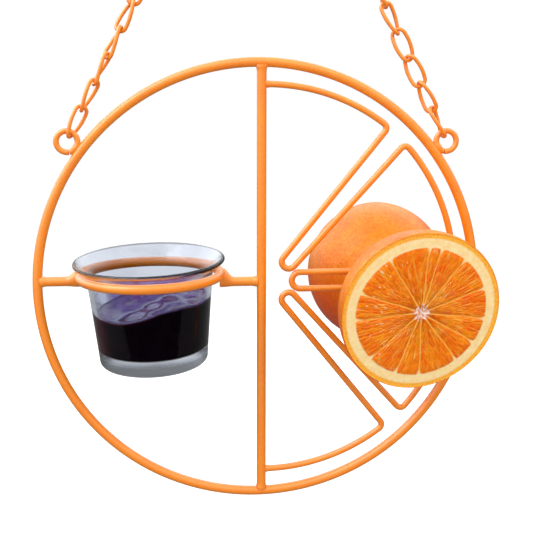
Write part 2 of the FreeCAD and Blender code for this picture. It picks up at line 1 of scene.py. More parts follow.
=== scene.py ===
# %% [markdown]
# # An oriole feeder, from measured model to picture
#
# The feeder hangs from two chains. Its frame is orange coated steel rod: a big ring, a bar across
# it, a collar with a glass cup of grape jelly, and one long wire bent into a slice of citrus with
# an orange half on each side. The sizes come from a measured model. Here each piece gets its fine
# shape and its finish, one step at a time.

# %% Load the measured model
import math
import bpy
import numpy as np
from mathutils import Matrix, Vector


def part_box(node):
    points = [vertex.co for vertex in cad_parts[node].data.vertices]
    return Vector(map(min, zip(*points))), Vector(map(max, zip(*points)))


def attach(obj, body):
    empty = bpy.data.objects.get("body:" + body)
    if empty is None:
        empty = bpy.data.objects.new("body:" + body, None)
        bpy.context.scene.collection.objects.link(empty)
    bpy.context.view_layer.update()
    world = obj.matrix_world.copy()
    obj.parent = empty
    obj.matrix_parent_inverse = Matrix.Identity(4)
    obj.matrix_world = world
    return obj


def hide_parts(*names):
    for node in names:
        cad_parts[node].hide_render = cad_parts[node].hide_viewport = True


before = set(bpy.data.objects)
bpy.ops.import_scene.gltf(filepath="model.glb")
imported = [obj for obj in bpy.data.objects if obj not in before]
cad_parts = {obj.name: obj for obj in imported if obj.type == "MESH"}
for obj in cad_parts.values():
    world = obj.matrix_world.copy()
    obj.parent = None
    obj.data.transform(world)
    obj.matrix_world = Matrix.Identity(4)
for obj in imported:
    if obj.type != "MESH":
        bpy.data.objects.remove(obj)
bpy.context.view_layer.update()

print("pieces in the measured model:", len(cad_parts))

# %% [markdown]
# ## The camera
#
# A picture is matched from the same place with the same lens, so the camera comes first. It stands
# half a metre away, a little to the left of the middle and a little above it. Its place was fitted
# to the ring's outline. The camera's axes are worked out from the two viewing angles and go into
# its matrix as columns, which leaves no doubt about the roll.

# %% Camera
MM = 0.001
LOOK_AT = np.array([3.536, 0.0, -290.091])
DISTANCE = 500.0
AZIMUTH, ELEVATION, ROLL = np.radians([-5.756, 10.409, 0.141])
SENSOR_WIDTH, LENS = 36.0, 59.285


def set_up(thing, x_axis, y_axis, z_axis, place):
    """Puts a camera or lamp in the scene. Its axes and its place in metres are the columns."""
    bpy.context.scene.collection.objects.link(thing)
    rows = np.column_stack([x_axis, y_axis, z_axis, place])
    thing.matrix_world = Matrix([list(row) for row in rows] + [[0, 0, 0, 1]])
    return thing


back = np.array([math.sin(AZIMUTH) * math.cos(ELEVATION),
                 -math.cos(AZIMUTH) * math.cos(ELEVATION),
                 math.sin(ELEVATION)])
level = np.array([math.cos(AZIMUTH), math.sin(AZIMUTH), 0.0])
upright = np.cross(back, level)
camera = set_up(bpy.data.objects.new("camera", bpy.data.cameras.new("camera")),
                level * math.cos(ROLL) + upright * math.sin(ROLL),
                upright * math.cos(ROLL) - level * math.sin(ROLL),
                back, (LOOK_AT + back * DISTANCE) * MM)
camera.data.sensor_width = SENSOR_WIDTH
camera.data.lens = LENS
camera.data.clip_start = 0.01
bpy.context.scene.camera = camera
print("camera stands at", [round(x, 3) for x in camera.matrix_world.translation])

# %% [markdown]
# ## Two helpers for every surface
#
# Every piece below is a grid of points: rows along the piece and columns around it. numpy works
# out all the points in one go, and `foreach_set` hands them to the mesh as one array, which is
# much quicker than adding them one by one. A pole closes each end of an open grid. The signed
# volume tells whether the faces point outwards, so no piece is ever inside out.

# %% Grid surfaces
def full_turn(count):
    """Angles of a full circle, without the last one, which would repeat the first."""
    return np.linspace(0, 2 * np.pi, count, endpoint=False)


def grid_corners(rows, columns, wrap):
    """Row and column of the four corners of each quad. With wrap, the last row joins the first."""
    row = np.arange(rows if wrap else rows - 1)[:, None] + np.zeros(columns, int)
    column = np.zeros_like(row) + np.arange(columns)
    corner_rows = np.stack([row, row, row + 1, row + 1], axis=-1).reshape(-1, 4)
    corner_columns = np.stack([column, column + 1, column + 1, column], axis=-1).reshape(-1, 4)
    return corner_rows, corner_columns


def enclosed(points, triangles):
    """Signed volume: the sum over the triangles of a . (b x c) / 6."""
    a, b, c = (points[triangles[:, k]] for k in range(3))
    return float(np.einsum("ij,ij->i", a, np.cross(b, c)).sum() / 6)


def surface(name, grid, wrap=False, poles=None, uv=None, values=None):
    """A closed mesh from a grid of points in millimetres, shaped rows x columns x 3.

    Columns always join round. Rows join round with wrap, or end in two poles. uv is a pair of
    rows x (columns + 1) arrays, and values names one number per grid point for the materials.
    """
    rows, columns = grid.shape[:2]
    corner_rows, corner_columns = grid_corners(rows, columns, wrap)
    quads = (corner_rows % rows) * columns + corner_columns % columns
    points = grid.reshape(-1, 3)
    fans = np.zeros((0, 3), int)
    edge = np.arange(columns)
    if poles is not None:
        first, last = len(points), len(points) + 1
        points = np.concatenate([points, np.array(poles, float)])
        after = (edge + 1) % columns
        end = (rows - 1) * columns
        fans = [np.stack([after, edge, np.full(columns, first)], axis=1),
                np.stack([end + edge, end + after, np.full(columns, last)], axis=1)]
        fans = np.concatenate(fans)
    centred = points - points.mean(axis=0)
    volume = enclosed(centred, np.concatenate([quads[:, :3], quads[:, [0, 2, 3]], fans]))
    step = 1 if volume > 0 else -1
    corners = np.concatenate([quads[:, ::step].ravel(), fans[:, ::step].ravel()])
    starts = np.concatenate([np.arange(len(quads)) * 4,
                             len(quads) * 4 + np.arange(len(fans)) * 3])
    mesh = bpy.data.meshes.new(name)
    mesh.vertices.add(len(points))
    mesh.vertices.foreach_set("co", (points * MM).astype(np.float32).ravel())
    mesh.loops.add(len(corners))
    mesh.loops.foreach_set("vertex_index", corners.astype(np.int32))
    mesh.polygons.add(len(starts))
    mesh.polygons.foreach_set("loop_start", starts.astype(np.int32))
    mesh.update(calc_edges=True)
    mesh.shade_smooth()
    if uv is not None:
        flat = []
        for part in uv:
            around = part[corner_rows % rows, corner_columns][:, ::step].ravel()
            ends = [np.stack([part[0, edge + 1], part[0, edge], part[0, edge]], axis=1),
                    np.stack([part[-1, edge], part[-1, edge + 1], part[-1, edge]], axis=1)]
            ends = np.concatenate(ends)[:len(fans), ::step].ravel()
            flat.append(np.concatenate([around, ends]))
        layer = mesh.uv_layers.new(name="along")
        layer.data.foreach_set("uv", np.stack(flat, axis=1).astype(np.float32).ravel())
    for title, numbers in (values or {}).items():
        numbers = numbers.ravel()
        if poles is not None:
            numbers = np.concatenate([numbers, [numbers[0], numbers[-1]]])
        attribute = mesh.attributes.new(title, "FLOAT", "POINT")
        attribute.data.foreach_set("value", numbers.astype(np.float32))
    piece = bpy.data.objects.new(name, mesh)
    bpy.context.scene.collection.objects.link(piece)
    piece["volume"] = abs(volume)
    return piece


coated = []


def stand_for(piece, body, finish, *nodes):
    """Lets a piece ride on its body and stand for its measured solids; coated pieces are listed.
    """
    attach(piece, body)
    if finish == "orange_coat":
        coated.append(piece)
    if nodes:
        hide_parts(*nodes)
        lows, highs = zip(*[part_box(node) for node in nodes])
        box = np.array([np.min(lows, axis=0), np.max(highs, axis=0)]) * 1000
        flat = np.empty(len(piece.data.vertices) * 3, np.float32)
        piece.data.vertices.foreach_get("co", flat)
        own = flat.reshape(-1, 3) * 1000
        off = np.abs(np.array([own.min(axis=0), own.max(axis=0)]) - box).max()
        print("%-22s %6d faces, box within %.2f mm" % (piece.name, len(piece.data.polygons), off))


# %% [markdown]
# ## Rods
#
# All the steel is round rod or wire. A tube is a circle carried along a path: at each point the
# circle lies square to the path's direction. Most paths here are flat, so the direction across
# the plane serves as the circle's first axis all the way and the tube never twists. A path is put
# together from straight runs and bends that touch without a kink, as a bending jig makes them.

# %% Paths and tubes
RIGHT, ACROSS, UP = np.eye(3)


def straight(start, end, count):
    """Points spread evenly on a line, and the line's direction at each."""
    start, end = np.asarray(start, float), np.asarray(end, float)
    along = np.linspace(0, 1, count)[:, None]
    direction = (end - start) / np.linalg.norm(end - start)
    return start + (end - start) * along, np.repeat(direction[None, :], count, axis=0)


def bend(centre, first, last, degrees_per_step):
    """The shorter arc about a centre: centre + cos t * u + sin t * w, u pointing at its start."""
    centre, first, last = (np.asarray(p, float) for p in (centre, first, last))
    u = first - centre
    radius = np.linalg.norm(u)
    turn = math.acos(np.clip(u @ (last - centre) / radius ** 2, -1, 1))
    w = (last - centre) - u * math.cos(turn)
    w *= radius / np.linalg.norm(w)
    t = np.linspace(0, turn, max(3, int(math.degrees(turn) / degrees_per_step) + 2))[:, None]
    return centre + u * np.cos(t) + w * np.sin(t), (w * np.cos(t) - u * np.sin(t)) / radius


def round_path(centre, radius, angles, second=UP):
    """centre + radius * (cos t * RIGHT + sin t * second), and the direction at each point."""
    t = angles[:, None]
    points = np.asarray(centre, float) + radius * (np.cos(t) * RIGHT + np.sin(t) * second)
    return points, np.cos(t) * second - np.sin(t) * RIGHT


def joined_path(*runs):
    """Runs one after another, each without the point that the one before it ended on."""
    points = [runs[0][0]] + [run[0][1:] for run in runs[1:]]
    directions = [runs[0][1]] + [run[1][1:] for run in runs[1:]]
    return np.concatenate(points), np.concatenate(directions)


def distance_along(points):
    """How far along the path each point is, in millimetres."""
    steps = np.linalg.norm(np.diff(points, axis=0), axis=1)
    return np.concatenate([[0.0], np.cumsum(steps)])


def crowded(count):
    """Shares from 0 to 1 that crowd towards both ends: half of 1 - cos t."""
    return 0.5 - 0.5 * np.cos(np.linspace(0, np.pi, count))


def tube(name, path, radius, side=ACROSS, columns=20, closed=False):
    """Point + radius * (cos a * side + sin a * (direction x side)), radius a number or per row."""
    points, directions = path
    side = side - directions * np.sum(side * directions, axis=1, keepdims=True)
    side = side / np.linalg.norm(side, axis=1, keepdims=True)
    other = np.cross(directions, side)
    angle = full_turn(columns)[None, :, None]
    radius = np.broadcast_to(np.asarray(radius, float), (len(points),))[:, None, None]
    circle = np.cos(angle) * side[:, None] + np.sin(angle) * other[:, None]
    grid = points[:, None] + radius * circle
    poles = None if closed else (points[0], points[-1])
    return surface(name, grid, wrap=closed, poles=poles)


def weld_swell(distance, size=0.45, reach=1.5):
    """Extra radius near a weld: size * exp(-(distance / reach) squared), like a smooth fillet."""
    return size * np.exp(-(distance / reach) ** 2)


# %% [markdown]
# ## The big ring and the bar across it
#
# The ring is one rod bent round and welded. The vertical bar is welded inside it, so the rod
# flares a little at both ends where the weld metal climbs. The baked coat adds a third of a
# millimetre to the bare steel, and it rounds every corner that it runs over.

# %% Ring and vertical bar
STEEL = 2.38
ROD = STEEL + 0.30
ROD_SIDES = 24
RING_Z = -301.06
RING_RADIUS = 124.62
BITE = 0.8
BAR_X, BAR_Y = 0.6, -0.5

ring = tube("ring_rod", round_path((0, 0, RING_Z), RING_RADIUS, full_turn(360)), ROD,
            columns=ROD_SIDES, closed=True)
stand_for(ring, "feeder_frame", "orange_coat", "main_ring")


def welded_bar(name, start, end):
    """A straight rod that swells at both ends, with its points crowded towards the ends."""
    along = crowded(90)
    start, end = np.asarray(start, float), np.asarray(end, float)
    points = start + (end - start) * along[:, None]
    length = np.linalg.norm(end - start)
    directions = np.repeat([(end - start) / length], len(along), axis=0)
    near = np.minimum(along, 1 - along) * length
    return tube(name, (points, directions), ROD + weld_swell(near - BITE), columns=ROD_SIDES)


half_bar = RING_RADIUS - STEEL + BITE
bar = welded_bar("bar_rod", (BAR_X, BAR_Y, RING_Z - half_bar), (BAR_X, BAR_Y, RING_Z + half_bar))
stand_for(bar, "feeder_frame", "orange_coat", "vertical_bar")

# %% [markdown]
# ## The collar and its two arms
#
# The collar that the cup hangs in is the same rod, bent to a smaller ring and tipped a little to
# the front and to the left. It sits a hair higher and wider than the measured one, which brings
# its outline onto the photograph's. Two short arms carry it. Each arm meets the collar below its
# middle, so the welder has filled the corner, and the arm looks as if it flares upwards. That end
# is a rod whose section grows from a circle to a tall ellipse, because one smooth section is all
# that such a weld shows.

# %% Collar and arms
SPOKE_Z = -298.46
OUTER_Z = -296.76
CUP_X = -62.01
COLLAR_Z = -294.06
COLLAR_RADIUS = 38.88
COLLAR_RAISED, COLLAR_WIDENED = 0.4, 0.24
COLLAR_LEAN = math.radians(0.8)
COLLAR_ROLL = 0.012
FLARE_REACH = 5.6
FLARE_TALL, FLARE_WIDE, FLARE_RAISED = 0.55, 0.75, 0.1

path, way = round_path((CUP_X, 0, COLLAR_Z + COLLAR_RAISED), COLLAR_RADIUS + COLLAR_WIDENED,
                       full_turn(240), np.array([0, math.cos(COLLAR_LEAN), math.sin(COLLAR_LEAN)]))
path[:, 2] += COLLAR_ROLL * (path[:, 0] - CUP_X)
collar = tube("collar_rod", (path, way), ROD, side=UP, columns=ROD_SIDES, closed=True)
stand_for(collar, "feeder_frame", "orange_coat", "cup_collar")


def arm(name, far_x, collar_x, z):
    """A level rod from far_x to collar_x whose section climbs to the collar over its last part.

    Near the collar the section is an ellipse: its bottom stays close to the rod's bottom line,
    and its top rises smoothly to the collar's top. A share s from 0 to 1 says how far it grew.
    """
    x = far_x + (collar_x - far_x) * crowded(80)
    s = np.clip(1 - (np.abs(collar_x - x) - ROD) / FLARE_REACH, 0, 1)
    s = s * s * (3 - 2 * s) ** 0.5
    rise = (COLLAR_Z - z) * 0.5
    swell = weld_swell(np.abs(x - far_x) - BITE)
    tall = ROD + s * (rise + FLARE_TALL) + swell
    wide = ROD + s * FLARE_WIDE + swell
    middle = z + s * (rise + FLARE_RAISED)
    angle = full_turn(ROD_SIDES)
    grid = np.empty((len(x), ROD_SIDES, 3))
    grid[..., 0] = x[:, None]
    grid[..., 1] = wide[:, None] * np.cos(angle)
    grid[..., 2] = middle[:, None] + tall[:, None] * np.sin(angle)
    piece = surface(name, grid, poles=((far_x, 0, z), (collar_x, 0, middle[-1])))
    stand_for(piece, "feeder_frame", "orange_coat", name.replace("arm", "bar"))


arm("outer_arm", -RING_RADIUS + STEEL - BITE, CUP_X - COLLAR_RADIUS, OUTER_Z)
arm("inner_arm", -STEEL + BITE, CUP_X + COLLAR_RADIUS, SPOKE_Z)

# %% [markdown]
# ## The citrus slice
#
# One thin wire draws the upper rim, dips to a hairpin near the middle, comes back, runs down the
# side, makes the level hairpin, and mirrors itself below. Every corner is a bend of one small
# radius that touches both the rim's arc and the straight run, which is what a wire bender makes.
# The bend's centre follows from two distances: one bend radius from the run, and the rim's radius
# less one bend radius from the middle.

# %% Citrus wire
WIRE = 1.55
THICK_WIRE = WIRE + 0.26
SIDE_ARC, LONG_ARC = 113.02, 111.92
SIDE_DROP = 4.2
LONG_RIGHT, LONG_DROP = 3.8, 1.7
BEND = 3.2
NOSE, NOSE_HEADING, NOSE_CLEAR = 4.1, 120.6, 0.8
LIMB_HEADING, LIMB_TAPER = 49.5, 1.6
HAIRPIN_X, GAP = 22.9, 4.8
CITRUS_WELD = 0.5


def at_angle(radius, degrees):
    """A vector in the frame's plane at this angle from the right towards the top."""
    t = math.radians(degrees)
    return np.array([radius * math.cos(t), 0.0, radius * math.sin(t)])


def rim_corner(point, degrees, before, middle, radius):
    """Centre of the bend between rim and run, and where it touches the rim and the run."""
    along = at_angle(1, degrees)
    sideways = at_angle(1, degrees + (90 if before else -90))
    start = point + sideways * BEND - middle
    half = start @ along
    reach = -half + math.sqrt(half * half - start @ start + (radius - BEND) ** 2)
    outward = start + along * reach
    on_rim = middle + outward / np.linalg.norm(outward) * radius
    return middle + outward, on_rim, middle + outward - sideways * BEND


def half_slice(half):
    """The wire's middle line from the bar to the level hairpin's nose, 1 above and -1 below.

    The lower half is worked out upside down and mirrored later. The long arcs' middle stands a
    little to the right of the frame's and below it, and the lower side arc's middle below it.
    """
    long_middle = np.array([LONG_RIGHT, 0, -half * LONG_DROP])
    side_middle = np.array([0, 0, 0 if half > 0 else SIDE_DROP])
    nose_distance = NOSE + GAP + 2 * WIRE + NOSE_CLEAR
    nose = np.array([HAIRPIN_X, 0, 0]) + at_angle(nose_distance, NOSE_HEADING)
    start_x = STEEL - BITE
    rise = long_middle[2] + math.sqrt(LONG_ARC ** 2 - (start_x - long_middle[0]) ** 2)
    start = np.array([start_x, 0, rise])
    heading = LIMB_HEADING + LIMB_TAPER
    left = nose + at_angle(NOSE, heading + 90)
    centre_1, rim_1, run_1 = rim_corner(left, heading, True, long_middle, LONG_ARC)
    heading = LIMB_HEADING - LIMB_TAPER
    right = nose + at_angle(NOSE, heading - 90)
    centre_2, rim_2, run_2 = rim_corner(right, heading, False, side_middle, SIDE_ARC)
    behind = nose - at_angle(NOSE, LIMB_HEADING)
    touch = np.array([HAIRPIN_X, 0, GAP])
    centre_3, rim_3, run_3 = rim_corner(touch, 0, True, side_middle, SIDE_ARC)
    tip = np.array([HAIRPIN_X - GAP, 0, 0])
    return joined_path(
        bend(long_middle, start, rim_1, 1.0),
        bend(centre_1, rim_1, run_1, 8),
        straight(run_1, left, 40),
        bend(nose, left, behind, 8),
        bend(nose, behind, right, 8),
        straight(right, run_2, 40),
        bend(centre_2, run_2, rim_2, 8),
        bend(side_middle, rim_2, rim_3, 1.0),
        bend(centre_3, rim_3, run_3, 8),
        straight(run_3, touch, 40),
        bend(touch - [0, 0, GAP], touch, tip, 8))


FLIP = np.array([1, 1, -1])
below = half_slice(-1)
points, directions = joined_path(half_slice(1), (below[0][::-1] * FLIP, -below[1][::-1] * FLIP))
points = points + [0, 0, SPOKE_Z]
length = distance_along(points)
near_end = np.minimum(length, length[-1] - length)
citrus = tube("citrus_rod", (points, directions),
              THICK_WIRE + weld_swell(near_end - BITE, CITRUS_WELD), columns=16)
stand_for(citrus, "feeder_frame", "orange_coat", "citrus_wire")
print("the citrus wire is %.0f mm long" % length[-1])

# %% [markdown]
# ## The spike
#
# A short rod with a point at each end crosses the slice and holds the fruit. The radius falls to
# almost nothing along each point with a slight belly, as a ground point has.

# %% Spike
SPIKE_X, SPIKE_Z = 79.42, -306.89
SPIKE_HALF, POINT = 35, 9.0
spike_path = straight((SPIKE_X, -SPIKE_HALF, SPIKE_Z), (SPIKE_X, SPIKE_HALF, SPIKE_Z), 70)
to_tip = SPIKE_HALF - np.abs(spike_path[0][:, 1])
spike_radius = STEEL * np.clip(to_tip / POINT, 0.03, 1) ** 0.9
spike = tube("spike_rod", spike_path, spike_radius, side=RIGHT, columns=ROD_SIDES)
stand_for(spike, "feeder_frame", "orange_coat", "fruit_spike")

# %% [markdown]
# ## Eyelets and the hanging ring
#
# Each eyelet is a wire bent almost shut. Its gap looks down, a few millimetres from the weld, and
# the wire swells where it touches the ring. The coat is thin here and on the chain, because the
# last link turns in the eyelet and a thick coat would cut into it at the end of its swing.

# %% Eyelets and hanging ring
EYELET_X, EYELET_Z = 105.63, -219.42
EYELET = 5.75
HALF_GAP = 2.5
GAP_HEADING, WELD_HEADING = -101.0, -142.3
EYELET_WELD = 0.5, 2.6
THIN_COAT = 0.02
EYE_WIRE = WIRE + THIN_COAT
HANG_Z, HANG_RADIUS = -10.45, 12.0


def eyelet(name, side):
    """An arc of 355 degrees in the frame's plane. Headings are the right one's, left mirrored."""
    gap = GAP_HEADING if side > 0 else 180 - GAP_HEADING
    weld = WELD_HEADING if side > 0 else 180 - WELD_HEADING
    centre = np.array([side * EYELET_X, 0, EYELET_Z])
    turn = np.radians(np.linspace(gap + HALF_GAP, gap + 360 - HALF_GAP, 96))
    path = round_path(centre, EYELET, turn)
    off = np.linalg.norm(path[0] - centre - at_angle(EYELET, weld), axis=1)
    piece = tube(name + "_wire", path, EYE_WIRE + weld_swell(off, *EYELET_WELD))
    stand_for(piece, "feeder_frame", "orange_coat", name)


eyelet("left_eyelet", -1)
eyelet("right_eyelet", 1)
top_ring = tube("top_ring_wire", round_path((0, 0, HANG_Z), HANG_RADIUS, full_turn(120)),
                EYE_WIRE, closed=True)
stand_for(top_ring, "hanging_ring", "orange_coat", "hanging_ring")

# %% [markdown]
# ## Twisted links
#
# A twisted link is an oval link whose lower end is turned, so a chain of them lies quieter than
# one of flat links. Its middle line is worked out once: the crown leaves the axis level, a corner
# rounded by the crown's radius leads down, a wide corner passes the belly, and a third one comes
# back under the other crown. The same turned half round makes the other side. The tube's first
# axis points away from the link's spine, a short line inside the link, because a fixed direction
# would run along the wire somewhere and the tube would pinch there. Each link is that one path,
# rolled and laid on the chain's line. How far the lowest five are rolled on each side was read
# from the photograph, and the ones above go on evenly.

# %% Links
CHAIN_WIRE = 1.05
CROWN = 3.4
BELLY = 4.1
LINK_HALF = 9.05
TWIST = math.radians(60)
WIDE_CORNER = 0.9
FIRST_CROWN = 9.1
PITCH = 15.7
CHAIN_LEAN = 26.815
LINK_COUNT = 14
SEEN_ROLLS = {-1: [52, 69, 87, 108, 126], 1: [70, 120, 150, 180, 220]}
TOP_ROLLS = {-1: 300, 1: 480}
SEAM_SWELL = 0.07, 1.0


def unit(vector):
    """The vector divided by its length."""
    return vector / np.linalg.norm(vector)


def rounded_corner(before, corner, after, reach, degrees_per_step):
    """The arc that touches both sides of a corner at this distance from it."""
    toward, away = unit(before - corner), unit(after - corner)
    half_angle = math.acos(np.clip(toward @ away, -1, 1)) / 2
    centre = corner + unit(toward + away) * reach / math.cos(half_angle)
    return bend(centre, corner + toward * reach, corner + away * reach, degrees_per_step)


def link_path():
    """The closed middle line of one link about the Z axis, its middle at the origin.

    The corners at crown and belly depend on each other, so both are worked out again until they
    settle.
    """
    out, middle = CROWN, BELLY
    half_twist = TWIST / 2
    for _ in range(60):
        high = np.array([out * math.cos(half_twist), -out * math.sin(half_twist), LINK_HALF])
        low = high * [1, -1, -1]
        corner = np.array([middle, 0, 0])
        down, onward = unit(corner - high), unit(low - corner)
        out = CROWN * math.tan(math.acos(unit(high * [1, 1, 0]) @ down) / 2)
        reach = WIDE_CORNER * (np.linalg.norm(corner - high) - out)
        middle = BELLY + reach * math.tan(math.acos(down @ onward) / 4)
    top, bottom = UP * LINK_HALF, UP * -LINK_HALF
    near = np.linalg.norm(high - top)
    arcs = [rounded_corner(top, high, corner, near, 9),
            rounded_corner(high, corner, low, reach, 4),
            rounded_corner(corner, low, bottom, near, 9)]
    half = joined_path(arcs[0], straight(arcs[0][0][-1], arcs[1][0][0], 3), arcs[1],
                       straight(arcs[1][0][-1], arcs[2][0][0], 3), arcs[2])
    turned_half = np.array([-1, -1, 1])
    points, directions = joined_path(half, (half[0][::-1] * turned_half,
                                            -half[1][::-1] * turned_half))
    return points[:-1], directions[:-1]


def link_roll(side, steps_up):
    """Roll of a link counted from the eyelet up: as seen for the lowest, then evenly on."""
    seen = SEEN_ROLLS[side]
    if steps_up < len(seen):
        return seen[steps_up]
    share = (steps_up - len(seen) + 1) / (LINK_COUNT - len(seen))
    return seen[-1] + share * (TOP_ROLLS[side] - seen[-1])


def rolled_and_leaned(points, roll, lean):
    """Turned about Z, then about Y.

    First x cos - y sin and x sin + y cos, then x cos + z sin and z cos - x sin.
    """
    x, y, z = points.T
    c, s = math.cos(math.radians(roll)), math.sin(math.radians(roll))
    x, y = x * c - y * s, x * s + y * c
    c, s = math.cos(math.radians(lean)), math.sin(math.radians(lean))
    return np.stack([x * c + z * s, y, z * c - x * s], axis=1)


LINK_POINTS, LINK_DIRECTIONS = link_path()
spine = np.zeros_like(LINK_POINTS)
spine[:, 2] = np.clip(LINK_POINTS[:, 2], CROWN - LINK_HALF, LINK_HALF - CROWN)
LINK_SIDE = LINK_POINTS - spine
seam = np.argmin(np.abs(LINK_POINTS[:, 2]) - LINK_POINTS[:, 0])
from_seam = np.linalg.norm(LINK_POINTS - LINK_POINTS[seam], axis=1)
LINK_RADIUS = CHAIN_WIRE + THIN_COAT + weld_swell(from_seam, *SEAM_SWELL)


def chain(label, side):
    """Fourteen links on the line from the hanging ring to the eyelet."""
    lean = math.radians(CHAIN_LEAN)
    towards = np.array([side * math.sin(lean), 0, -math.cos(lean)])
    for number in range(LINK_COUNT):
        roll = link_roll(side, LINK_COUNT - 1 - number)
        parts = [rolled_and_leaned(part, roll, -side * CHAIN_LEAN)
                 for part in (LINK_POINTS, LINK_DIRECTIONS, LINK_SIDE)]
        middle = towards * (FIRST_CROWN + number * PITCH + LINK_HALF) + [0, 0, HANG_Z]
        link = tube("%s_wire_%02d" % (label, number + 1), (parts[0] + middle, parts[1]),
                    LINK_RADIUS, side=parts[2], columns=14, closed=True)
        stand_for(link, "links_%02d" % (number + 1), "orange_coat",
                  "%s_link_%02d" % (label, number + 1))


chain("chain_left", -1)
chain("chain_right", 1)

# %% [markdown]
# ## The glass cup
#
# Pressed glass has no sharp edge anywhere. The cup is one closed outline turned about its axis:
# hollow foot, leaning wall, flared rim, and back down the inside to the floor. Each corner of the
# outline is replaced by an arc before it is turned, which is cheaper and cleaner than bevelling
# the finished mesh. The cup has some play in its collar, so it leans a little more than the
# collar does. A number on each point is one in the thick base and nothing above it, for the
# material.

# %% Turned pieces
CUP_TURN = 160
ARC_STEP = 10.0
CUP_LEAN = math.radians(3.5)
CUP_ROLL = math.radians(1.7)
CUP_TO_LEFT, CUP_TO_BACK = 0.4, 0.5


def rounded(corners, radii):
    """An outline of (distance from axis, height) corners with an arc of its radius in each."""
    corners = [np.asarray(c, float) for c in corners]
    out = [corners[0][None, :]]
    for before, corner, after, radius in zip(corners, corners[1:], corners[2:], radii):
        a, b = unit(before - corner), unit(after - corner)
        half = math.acos(np.clip(a @ b, -1, 1)) / 2
        reach = radius / math.tan(half)
        centre = corner + (a + b) / np.linalg.norm(a + b) * radius / math.sin(half)
        start, end = corner + a * reach - centre, corner + b * reach - centre
        turn = math.pi - 2 * half
        t = np.linspace(0, 1, max(2, int(math.degrees(turn) / ARC_STEP) + 2))[:, None]
        arc = (start * np.sin((1 - t) * turn) + end * np.sin(t * turn)) / math.sin(turn)
        out.append(centre + arc)
    out.append(corners[-1][None, :])
    return np.concatenate(out)


def filled_in(outline, longest):
    """The outline with more points on its long runs, none further apart than longest."""
    steps = np.linalg.norm(np.diff(outline, axis=0), axis=1)
    counts = np.maximum(1, np.ceil(steps / longest)).astype(int)
    runs = [np.linspace(a, b, n, endpoint=False)
            for a, b, n in zip(outline, outline[1:], counts)]
    return np.concatenate(runs + [outline[-1:]])


def round_axis(radius, angle, z):
    """Points about the cup's axis: (axis + r cos a, r sin a, z)."""
    return np.stack([CUP_X + radius * np.cos(angle), radius * np.sin(angle), z + 0 * angle],
                    axis=-1)


def lean_forward(points):
    """Turns points about the collar's centre, front down, then left side down."""
    c, s = math.cos(CUP_LEAN), math.sin(CUP_LEAN)
    x, y, z = np.moveaxis(points, -1, 0)
    x, z = x - CUP_X, z - COLLAR_Z
    y, z = y * c - z * s + CUP_TO_BACK, y * s + z * c
    c, s = math.cos(CUP_ROLL), math.sin(CUP_ROLL)
    return np.stack([x * c - z * s + CUP_X - CUP_TO_LEFT, y, z * c + x * s + COLLAR_Z], axis=-1)


def in_cup(name, grid, ends=None, **extra):
    """A surface that leans with the cup. ends are the heights of its two poles on the axis."""
    poles = None if ends is None else lean_forward(np.array([[CUP_X, 0, z] for z in ends]))
    return surface(name, lean_forward(grid), poles=poles, **extra)


# %% Glass cup
FLOOR_CORNER, LIP_CORNER = (28.9, -336.1), (32.7, -292.0)
CUP_CORNERS = [(0, -343.5), (24.8, -344.7), (30.6, -344.7), (35.2, -293.1), (42.7, -285.70),
               (41.3, -283.9), LIP_CORNER, FLOOR_CORNER, (0, -336.1)]
CUP_ROUNDS = [1.5, 3.0, 5.0, 0.9, 0.9, 5.0, 3.0]
BASE_TOP, BASE_BLEND = -335.2, 1.6

outline = filled_in(rounded(CUP_CORNERS, CUP_ROUNDS), 3.0)
body = outline[1:-1]
low = np.clip((BASE_TOP - body[:, 1]) / BASE_BLEND, 0, 1)
cup = in_cup("cup_glass", round_axis(body[:, :1], full_turn(CUP_TURN), body[:, 1:]),
             (outline[0, 1], outline[-1, 1]),
             values={"base": np.repeat(low[:, None], CUP_TURN, axis=1)})
stand_for(cup, "feeder_frame", "clear_glass", "glass_cup")
print("the cup holds %.0f ml of glass" % (cup["volume"] / 1000))

# %% [markdown]
# ## The jelly
#
# Spooned jelly keeps a lumpy top that climbs the wall where the spoon left it. The side of the
# jelly lies a hair inside the glass wall instead of against it. With both surfaces crossed, a ray
# goes from glass to jelly with no air between, and the wall looks wet. The top is a height field:
# a tilt, a dip and a heap, a few broad waves and a rise at the wall. Two numbers on each point
# say what is open top, and where the side turns wine red: near the top edge, where the jelly is
# thinnest, and at the left, where the red is painted light shining through from that side.

# %% Jelly
WETTED = 0.04
JELLY_LEVEL, JELLY_FLOOR = -310.6, -336.06
JELLY_FOOT = [(0, JELLY_FLOOR), (28.94, JELLY_FLOOR), (30.415, -319.0)]
FOOT_ROUND = 3.0
WALL_ABOUT = 31.2
TOP_EDGE = 1.6
WALL_SLOPE = (LIP_CORNER[0] - FLOOR_CORNER[0]) / (LIP_CORNER[1] - FLOOR_CORNER[1])


def inner_wall(z):
    """Radius of the cup's inside at this height."""
    return FLOOR_CORNER[0] + (z - FLOOR_CORNER[1]) * WALL_SLOPE


def mound(x, y, height, at, reach):
    """height * exp(-((x - at) / reach) squared - the same for y), negative for a dip."""
    return height * np.exp(-((x - at[0]) / reach[0]) ** 2 - ((y - at[1]) / reach[1]) ** 2)


def jelly_top(x, y):
    """Height of the jelly over a point given from the cup's axis, in millimetres."""
    tilt = 0.11 * x
    dip = mound(x, y, -3.0, (-17, -26), (10.0, 14.0))
    heap = mound(x, y, 2.6, (12, -27), (12.0, 15.0))
    waves = (0.6 * np.sin(x / 9.0 + 0.6) * np.cos(y / 11.0 - 0.4)
             + 0.35 * np.sin(x / 4.6 - y / 6.3 + 1.7) + 0.15 * np.cos(x / 2.9 + y / 3.7))
    climb = 1.2 * np.exp(-(31.0 - np.minimum(np.hypot(x, y), 31.0)) / 1.6)
    return JELLY_LEVEL + tilt + dip + heap + waves + climb


